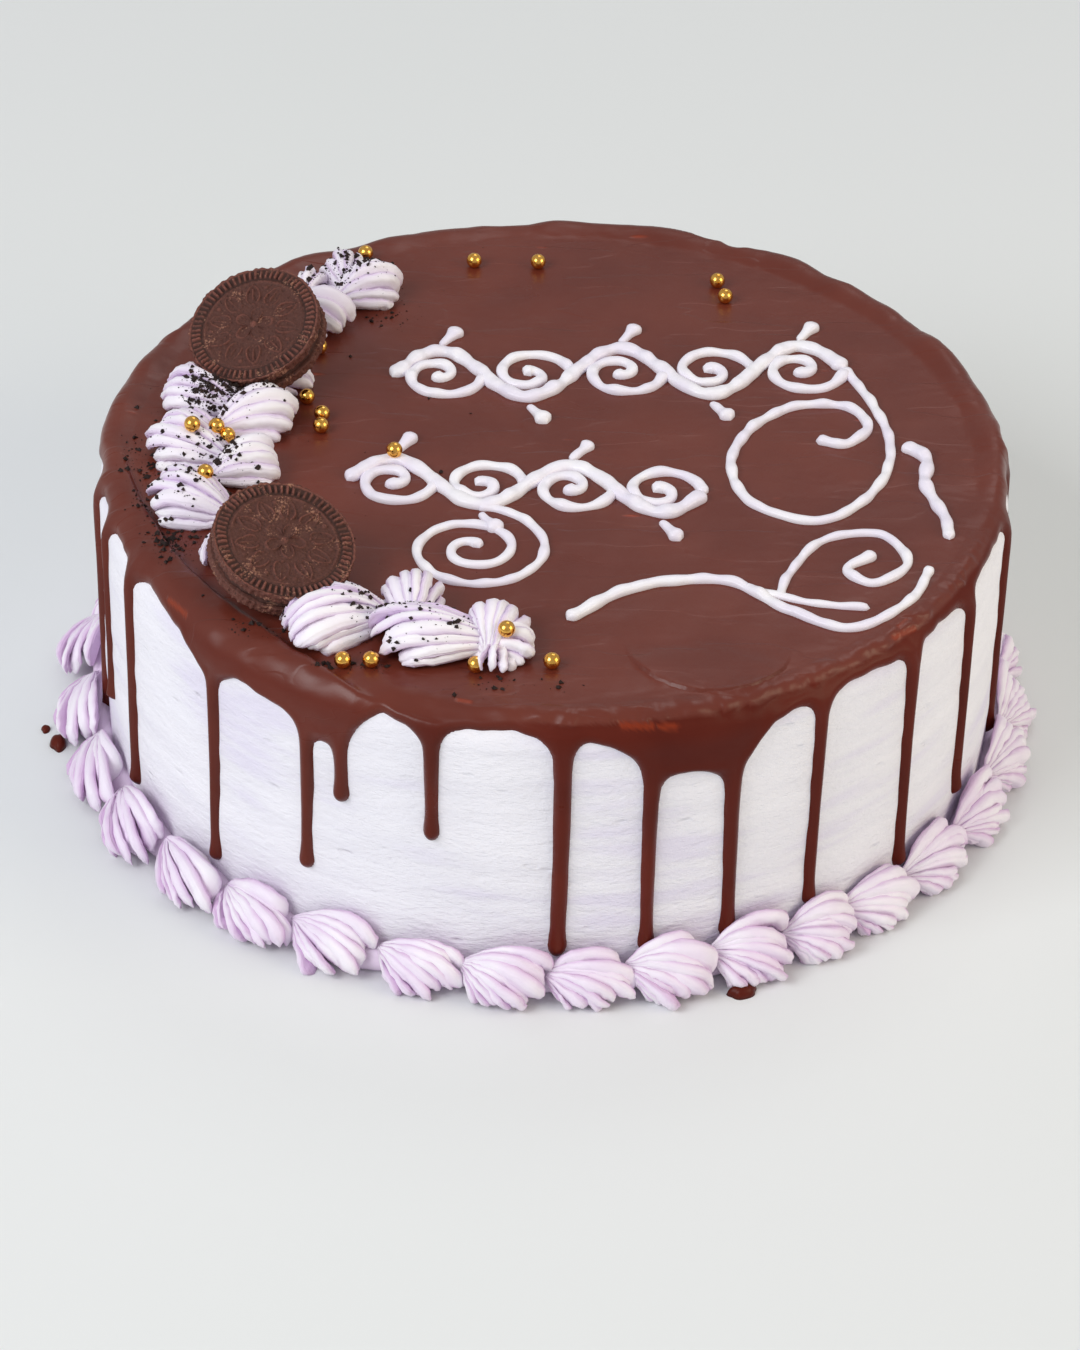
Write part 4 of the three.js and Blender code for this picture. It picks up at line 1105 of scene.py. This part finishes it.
def wafer_relief(angle, radius):
    """Pressed relief of a wafer, 0 in the hollows to 1 on the crests: short bars on the rim, a plain ring
    inside them, ten leaves each with a vein, dots between them, and a flower of five petals in the
    middle."""
    edge = BISCUIT["radius"]
    bars = smoothstep((np.cos(BARS * angle) + 0.15) / 0.5) * between(radius, edge - 4.4, 0.4, edge - 1.0, 0.4)
    ring = bell(radius, edge - 5.6, 0.45)
    leaf_turn = (angle * 10 / TAU) % 1 - 0.5
    leaf_side = leaf_turn * TAU * radius / 10
    leaf_along = (radius - 12.0) / 3.6
    leaf_half = 2.3 * np.sqrt(np.maximum(1 - leaf_along**2, 0.001)) * (1 - 0.25 * leaf_along)
    outline = bell(np.abs(leaf_side), leaf_half, 0.42) * (np.abs(leaf_along) < 1.05)
    vein = bell(leaf_side, 0, 0.4) * smoothstep((0.75 - np.abs(leaf_along)) / 0.15)
    dot_turn = (angle * 10 / TAU + 0.5) % 1 - 0.5
    dot = smoothstep((1.0 - np.hypot(dot_turn * TAU * radius / 10, radius - 14.6)) / 0.5)
    petal = bell(radius, 6.6 * np.abs(np.cos(2.5 * angle)) ** 0.5, 0.5) * smoothstep((radius - 1.8) / 0.5)
    middle = smoothstep((1.5 - radius) / 0.5)
    return np.clip(bars + 0.7 * ring + outline + 0.8 * vein + 0.8 * dot + petal + middle, 0, 1)


def wafer_points(matrix, base, up, seed):
    """One wafer: a disc with a pressed face, a plain lip and a rough upright edge with a worn groove. `up`
    is 1 for a face turned up, -1 for one turned down. Returns points, faces and `press`, how much of the base
    colour is kept
    against the painted shade: 0 in the face's outer hollows, 0.3 in the inner ones and 1 on the crests, and
    between them on the edge and the underside."""
    angle = TAU * np.arange(BARS * 8) / (BARS * 8)
    edge, thick = BISCUIT["radius"], BISCUIT["wafer"]
    radii = np.concatenate([np.linspace(0.5, 16.6, 40), np.linspace(16.9, edge - 0.5, 18)])
    face_r, turn = np.broadcast_arrays(radii[:, None], angle)
    x, y = face_r * np.cos(turn), face_r * np.sin(turn)
    inner = face_r < edge - BAR_BAND
    worn = np.clip(0.85 + 0.35 * unevenness(seed + 4, 9, x, y), 0.25, 1.1) * np.where(inner, 0.85, 1)
    relief = wafer_relief(turn, face_r) * worn
    grain = 0.13 * unevenness(seed, 1.6, x, y, waves=30) + 0.12 * unevenness(seed + 2, 5, x, y)
    lip = smoothstep((face_r - edge + 1.1) / 0.6)
    face_z = thick - PRESS_DEPTH + PRESS_DEPTH * np.maximum(relief, 0.75 * lip) + grain - 0.35 * lip
    side_h = np.array([0.84, 0.7, 0.55, 0.4, 0.25, 0.1])[:, None] * thick
    rim = [edge * np.cos(angle), edge * np.sin(angle), side_h]
    rough = 0.3 * unevenness(seed + 1, 1.9, *rim, waves=30) + 0.15 * unevenness(seed + 3, 6, *rim)
    side_r = edge - 0.15 + rough - 0.3 * bell(side_h / thick, 0.35, 0.15)
    under_r = np.array([edge - 0.6, edge - 4.0])[:, None] + 0 * angle
    radius = np.concatenate([face_r, side_r, under_r])
    height = np.concatenate([face_z, side_h + 0 * side_r, np.array([[0.06], [0.0]]) + 0 * under_r])
    ends = np.array([thick, 0.0])
    if up < 0:
        height, ends = thick - height, thick - ends
    # Painted shade: the hollows, the edge and the underside keep less of the base colour.
    face_shading = np.maximum(relief, np.maximum(lip, 0.3 * inner))
    press = np.concatenate([face_shading, 0.55 + 0 * side_r, 0.4 + 0 * under_r])
    poles = [(0, 0, base + end) for end in ends]
    points, faces = capped(turned(radius, angle, base + height), *poles, flip=up > 0)
    return placed(points, matrix), faces, np.append(press, [1, 0.4])


def filling_points(matrix, seed):
    """The filling between two wafers: a disc whose edge is uneven and bulges by half a sine."""
    angle = TAU * np.arange(180) / 180
    low, high = BISCUIT["wafer"] - 0.1, BISCUIT["wafer"] + BISCUIT["filling"] + 0.1
    heights = np.linspace(low, high, 7)[:, None]
    full = BISCUIT["radius"] - BISCUIT["inset"] + 0.25
    wave = unevenness(seed, 5, full * np.cos(angle), full * np.sin(angle), 2 * heights)
    radius = full + 0.3 * wave + 0.35 * np.sin(np.pi * (heights - low) / (high - low))
    points, faces = capped(turned(radius, angle, heights), (0, 0, low), (0, 0, high))
    return placed(points, matrix), faces


# ------------------------------------------------------------------ pearls, crumbs, beads


def ball_points(centres, radius, rings=12):
    """Balls: circles of latitude whose radius is the sine of the angle from the pole."""
    turn = np.pi * (np.arange(1, rings) / rings)
    pole = np.array([0, 0, radius])
    middles = centres[:, None] - pole * np.cos(turn)[:, None]
    size = np.broadcast_to(radius * np.sin(turn), middles.shape[:2])
    return tubes(middles, SIDEWAYS, FORWARD, size, size, centres - pole, centres + pole, circle(20))


def pool_points():
    """Beads of chocolate on the ground: flattened half balls, longer along the foot, their outline
    uneven."""
    share = np.linspace(0.02, 1, 10)[:, None]
    turn = TAU * np.arange(40) / 40
    parts = []
    for k, ((x, y), long, wide, high) in enumerate(POOLS):
        wave = 1 + 0.08 * np.sin(3 * turn + k) + 0.05 * np.sin(5 * turn + 2 * k)
        ahead = math.atan2(x, -y)
        a, b = long / 2 * share * np.cos(turn) * wave, wide / 2 * share * np.sin(turn) * wave
        z = high * np.maximum(1 - share**2.6, 0) ** 0.6 + 0 * turn
        px = x + a * math.cos(ahead) - b * math.sin(ahead)
        py = y + a * math.sin(ahead) + b * math.cos(ahead)
        parts.append(capped(np.stack([px, py, z], axis=-1), (x, y, high), (x, y, 0), flip=True))
    return joined(parts)


def dropped(spots, grounds):
    """Places on the highest of the grounds straight below each spot, as far as there is one."""
    down = Vector((0, 0, -1))
    seats = []
    for x, y in spots:
        hits = [tree.ray_cast(Vector((x * MM, y * MM, 0.2)), down)[0] for tree in grounds]
        heights = [hit.z for hit in hits if hit is not None]
        if heights:
            seats.append((x, y, max(heights) / MM))
    return np.array(seats)


def crumb_points(grounds):
    """Crumbs: small lumps of eight faces pulled out of shape and turned, lying on what is below them."""
    rng = np.random.default_rng(77)
    spots = [np.array(c) + np.array(s) * rng.normal(0, 0.75, (n, 2)) for c, s, n in CRUMB_PATCHES]
    stray = [rng.uniform(*STRAY_CRUMBS[key], STRAY_CRUMBS["count"]) for key in ("x", "y")]
    spots = np.concatenate([*spots, np.stack(stray, axis=1)])
    seats = dropped(spots[np.hypot(*spots.T) < STRAY_CRUMBS["inside"]], grounds)
    count = len(seats)
    small, large = CRUMB_SIZE
    size = (small + (large - small) * rng.uniform(0, 1, count) ** CRUMB_RARITY)[:, None, None]
    corner = np.array([(1, 0, 0), (0, 1, 0), (-1, 0, 0), (0, -1, 0), (0, 0, 1), (0, 0, -1)], float)
    shape = corner * rng.uniform(0.7, 1.25, (count, 6, 1)) + rng.normal(0, 0.18, (count, 6, 3))
    turn = rng.uniform(0, TAU, count)
    c, s = np.cos(turn)[:, None], np.sin(turn)[:, None]
    x, y = shape[..., 0] * c - shape[..., 1] * s, shape[..., 0] * s + shape[..., 1] * c
    points = seats[:, None] + np.stack([x, y, 0.85 * shape[..., 2] + 0.25], axis=-1) * size
    faces = np.array([(0, 1, 4), (1, 2, 4), (2, 3, 4), (3, 0, 4), (1, 0, 5), (2, 1, 5), (3, 2, 5), (0, 3, 5)])
    return points.reshape(-1, 3), [(faces + 6 * np.arange(count)[:, None, None]).reshape(-1, 3)]


# ------------------------------------------------------------------ stage


def make_floor():
    """A pale board under the cake that curves up in a quarter circle far behind it."""
    reach, bend, rise = 6000.0, 2000.0, 3500.0
    turn = np.linspace(0, math.pi / 2, 24)[1:]
    y = np.concatenate([np.linspace(-reach, bend, 20), bend + rise * np.sin(turn)])
    z = np.concatenate([np.zeros(20), rise * (1 - np.cos(turn))])
    x = np.linspace(-reach, reach, 12)
    grid = np.stack(np.broadcast_arrays(x[None], y[:, None], z[:, None]), axis=-1)
    quads = grid_faces(len(y), len(x), closed=False)
    new_object("studio_floor", grid, [quads], floor_material())


def make_lights(context):
    """The square soft lights, each aimed at its point, and the even light all round."""
    for name, place, aim, power, width, colour in LIGHTS:
        data = bpy.data.lights.new(name, "AREA")
        data.shape = "SQUARE"
        data.size = width
        data.energy = power
        data.color = colour
        lamp = bpy.data.objects.new(name, data)
        context.scene.collection.objects.link(lamp)
        lamp.location = place
        lamp.rotation_euler = (Vector(aim) - Vector(place)).to_track_quat("-Z", "Y").to_euler()
    world = bpy.data.worlds.new("studio_surround")
    world.use_nodes = True
    background = world.node_tree.nodes["Background"]
    background.inputs["Color"].default_value = opaque(SURROUND["colour"])
    background.inputs["Strength"].default_value = SURROUND["strength"]
    context.scene.world = world
    context.scene.view_settings.view_transform = "Standard"


def make_camera(context):
    """The photo's viewpoint: 36 degrees down from the front, slightly rolled."""
    data = bpy.data.cameras.new("photo_camera")
    data.sensor_fit = "VERTICAL"
    data.sensor_height = CAMERA["sensor"]
    data.lens = CAMERA["lens"]
    data.clip_end = 50
    camera = bpy.data.objects.new("photo_camera", data)
    context.scene.collection.objects.link(camera)
    down, roll = math.radians(CAMERA["down"]), math.radians(CAMERA["roll"])
    forward = Vector((0, math.cos(down), -math.sin(down)))
    level_up = Vector((0, math.sin(down), math.cos(down)))
    right = math.cos(roll) * Vector((1, 0, 0)) + math.sin(roll) * level_up
    up = -math.sin(roll) * Vector((1, 0, 0)) + math.cos(roll) * level_up
    turn = Matrix((right, up, -forward)).transposed().to_4x4()
    camera.matrix_world = Matrix.Translation(Vector(CAMERA["place"]) * MM) @ turn
    context.scene.camera = camera


# ------------------------------------------------------------------ settings


def colour_setting(name, description, code):
    """A colour the user can change."""
    return bpy.props.FloatVectorProperty(
        name=name, description=description, subtype="COLOR", size=3, min=0, max=1, default=linear(code)
    )


class DripCakeSettings(bpy.types.PropertyGroup):
    """What a user would change on the cake."""

    frosting: colour_setting("Frosting", "Colour of the smoothed frosting", "#F1EFF7")
    chocolate: colour_setting("Chocolate", "Colour of the ganache", "#682E22")
    pearl_radius: bpy.props.FloatProperty(
        name="Pearl radius",
        description="Radius of a gold pearl",
        default=PEARL_RADIUS * MM,
        min=0.001,
        unit="LENGTH",
    )
    border_ribs: bpy.props.IntProperty(
        name="Border ribs", description="Ribs of one border shell", default=10, min=5
    )


# ------------------------------------------------------------------ operators


class AddFrosting(bpy.types.Operator):
    """Make the frosted body"""

    bl_idname = "drip_cake.frosting"
    bl_label = "Frosting"

    def execute(self, context):
        material = frosting_material(context.scene.drip_cake.frosting)
        make_piece("frosted_body", *frosting_points(), material, "frosting", ["cake_body"])
        return {"FINISHED"}


class AddChocolate(bpy.types.Operator):
    """Make the chocolate with its drips, and the beads of it at the foot"""

    bl_idname = "drip_cake.chocolate"
    bl_label = "Chocolate"

    def execute(self, context):
        points, faces = chocolate_points()
        material = chocolate_material(context.scene.drip_cake.chocolate)
        make_piece("ganache_skin", points, faces, material, "ganache", ["ganache"], **chocolate_marks(points))
        # The beads take the chocolate's painted side shade all over.
        make_piece("ganache_beads", *pool_points(), material, "ganache", side=1)
        return {"FINISHED"}


class AddPiping(bpy.types.Operator):
    """Make the piped scrollwork"""

    bl_idname = "drip_cake.piping"
    bl_label = "Scrollwork"

    def execute(self, context):
        lines = [piped_line(*line, 100 + 7 * k) for k, line in enumerate(scroll_lines())]
        material = cream_material("piped_royal_icing", "#F0E9F7", "#E2D9EE", "#F8F5FB", 0.28)
        make_piece("piped_scrollwork", *joined(lines), material, "cream", fold=1)
        return {"FINISHED"}


def make_shells(name, shells, material, solids):
    """A piece of ribbed cream that stands for all the solids whose names begin alike."""
    points, faces, unshaded_share, strands = shells
    nodes = [n for n in frame["nodes"] if n.startswith(solids)]
    make_piece(name, points, faces, material, "cream", nodes, fold=unshaded_share, strand=strands)


class AddBorder(bpy.types.Operator):
    """Make the piped border round the foot"""

    bl_idname = "drip_cake.border"
    bl_label = "Foot border"

    def execute(self, context):
        material = cream_material("piped_lilac_buttercream", "#F1E3F5", "#DFBEE2", "#F8F2FA")
        shells = border_cream(context.scene.drip_cake.border_ribs)
        make_shells("border_cream", shells, material, "border_shell")
        return {"FINISHED"}


class AddCrescent(bpy.types.Operator):
    """Make the crescent of piped shells on the top"""

    bl_idname = "drip_cake.crescent"
    bl_label = "Crescent"

    def execute(self, context):
        material = cream_material("piped_pale_buttercream", "#F5ECF9", "#E3CDEB", "#FBF7FC")
        make_shells("crescent_cream", crescent_cream(), material, "crescent_shell")
        return {"FINISHED"}


class AddBiscuits(bpy.types.Operator):
    """Make the two sandwich biscuits"""

    bl_idname = "drip_cake.biscuits"
    bl_label = "Biscuits"

    def execute(self, context):
        material = wafer_material("#7B483D", "#3C221B", "#A4755E")
        inside = wafer_material("#54332C", "#30201B", "#74503F")
        top = BISCUIT["wafer"] + BISCUIT["filling"]
        for k, (name, *place) in enumerate(BISCUITS):
            matrix = biscuit_matrix(*place)
            for wafer, base, up in ((f"{name}_base_wafer", 0, -1), (f"{name}_top_wafer", top, 1)):
                *disc, press = wafer_points(matrix, base, up, 50 + 10 * k)
                make_piece(f"{wafer}_pressed", *disc, material, "wafer", [wafer], press=press)
            disc = filling_points(matrix, 60 + k)
            # The filling is evenly darker by the same mix towards its dark colour.
            make_piece(f"{name}_filling_disc", *disc, inside, "filling", [f"{name}_filling"], press=0.7)
        return {"FINISHED"}


class AddPearls(bpy.types.Operator):
    """Make the gold pearls"""

    bl_idname = "drip_cake.pearls"
    bl_label = "Pearls"

    def execute(self, context):
        radius = context.scene.drip_cake.pearl_radius / MM
        x, y = np.array(LOOSE_PEARLS, float).T
        loose = np.column_stack([x, y, chocolate_level(x, y) + 0.92 * radius])
        centres = np.concatenate([loose, np.array(RAISED_PEARLS, float) + [0, 0, TOP_Z]])
        make_piece("gold_pearls", *ball_points(centres, radius), gold_material(), "gold")
        return {"FINISHED"}


class AddCrumbs(bpy.types.Operator):
    """Scatter the biscuit crumbs over the chocolate and the crescent"""

    bl_idname = "drip_cake.crumbs"
    bl_label = "Crumbs"

    def execute(self, context):
        graph = context.evaluated_depsgraph_get()
        grounds = [BVHTree.FromObject(bpy.data.objects[n], graph) for n in ("ganache_skin", "crescent_cream")]
        material = wafer_material("#2C1813", "#180D0B", "#4A2C22")
        # The crumbs are evenly darker by the same mix towards their dark colour.
        piece = make_piece("biscuit_crumbs", *crumb_points(grounds), material, "wafer", press=0.6)
        piece.data.shade_flat()
        return {"FINISHED"}


class AddStage(bpy.types.Operator):
    """Make the floor, the lights and the camera"""

    bl_idname = "drip_cake.stage"
    bl_label = "Stage"

    def execute(self, context):
        make_floor()
        make_lights(context)
        make_camera(context)
        return {"FINISHED"}


# ------------------------------------------------------------------ panel and registration

OPERATORS = (
    AddFrosting, AddChocolate, AddPiping, AddBorder, AddCrescent, AddBiscuits, AddPearls, AddCrumbs, AddStage
)


class DripCakePanel(bpy.types.Panel):
    """Buttons for the pieces of the cake"""

    bl_idname = "VIEW3D_PT_drip_cake"
    bl_label = "Drip Cake"
    bl_space_type = "VIEW_3D"
    bl_region_type = "UI"
    bl_category = "Cake"

    def draw(self, context):
        for key in DripCakeSettings.__annotations__:
            self.layout.prop(context.scene.drip_cake, key)
        for operator in OPERATORS:
            self.layout.operator(operator.bl_idname)


CLASSES = (DripCakeSettings, *OPERATORS, DripCakePanel)


def register():
    for item in CLASSES:
        bpy.utils.register_class(item)
    bpy.types.Scene.drip_cake = bpy.props.PointerProperty(type=DripCakeSettings)


def unregister():
    del bpy.types.Scene.drip_cake
    for item in reversed(CLASSES):
        bpy.utils.unregister_class(item)


def main():
    register()
    bpy.ops.drip_cake.frosting()
    bpy.ops.drip_cake.chocolate()
    bpy.ops.drip_cake.piping()
    bpy.ops.drip_cake.border()
    bpy.ops.drip_cake.crescent()
    bpy.ops.drip_cake.biscuits()
    bpy.ops.drip_cake.pearls()
    bpy.ops.drip_cake.crumbs()
    bpy.ops.drip_cake.stage()


if __name__ == "__main__":
    main()
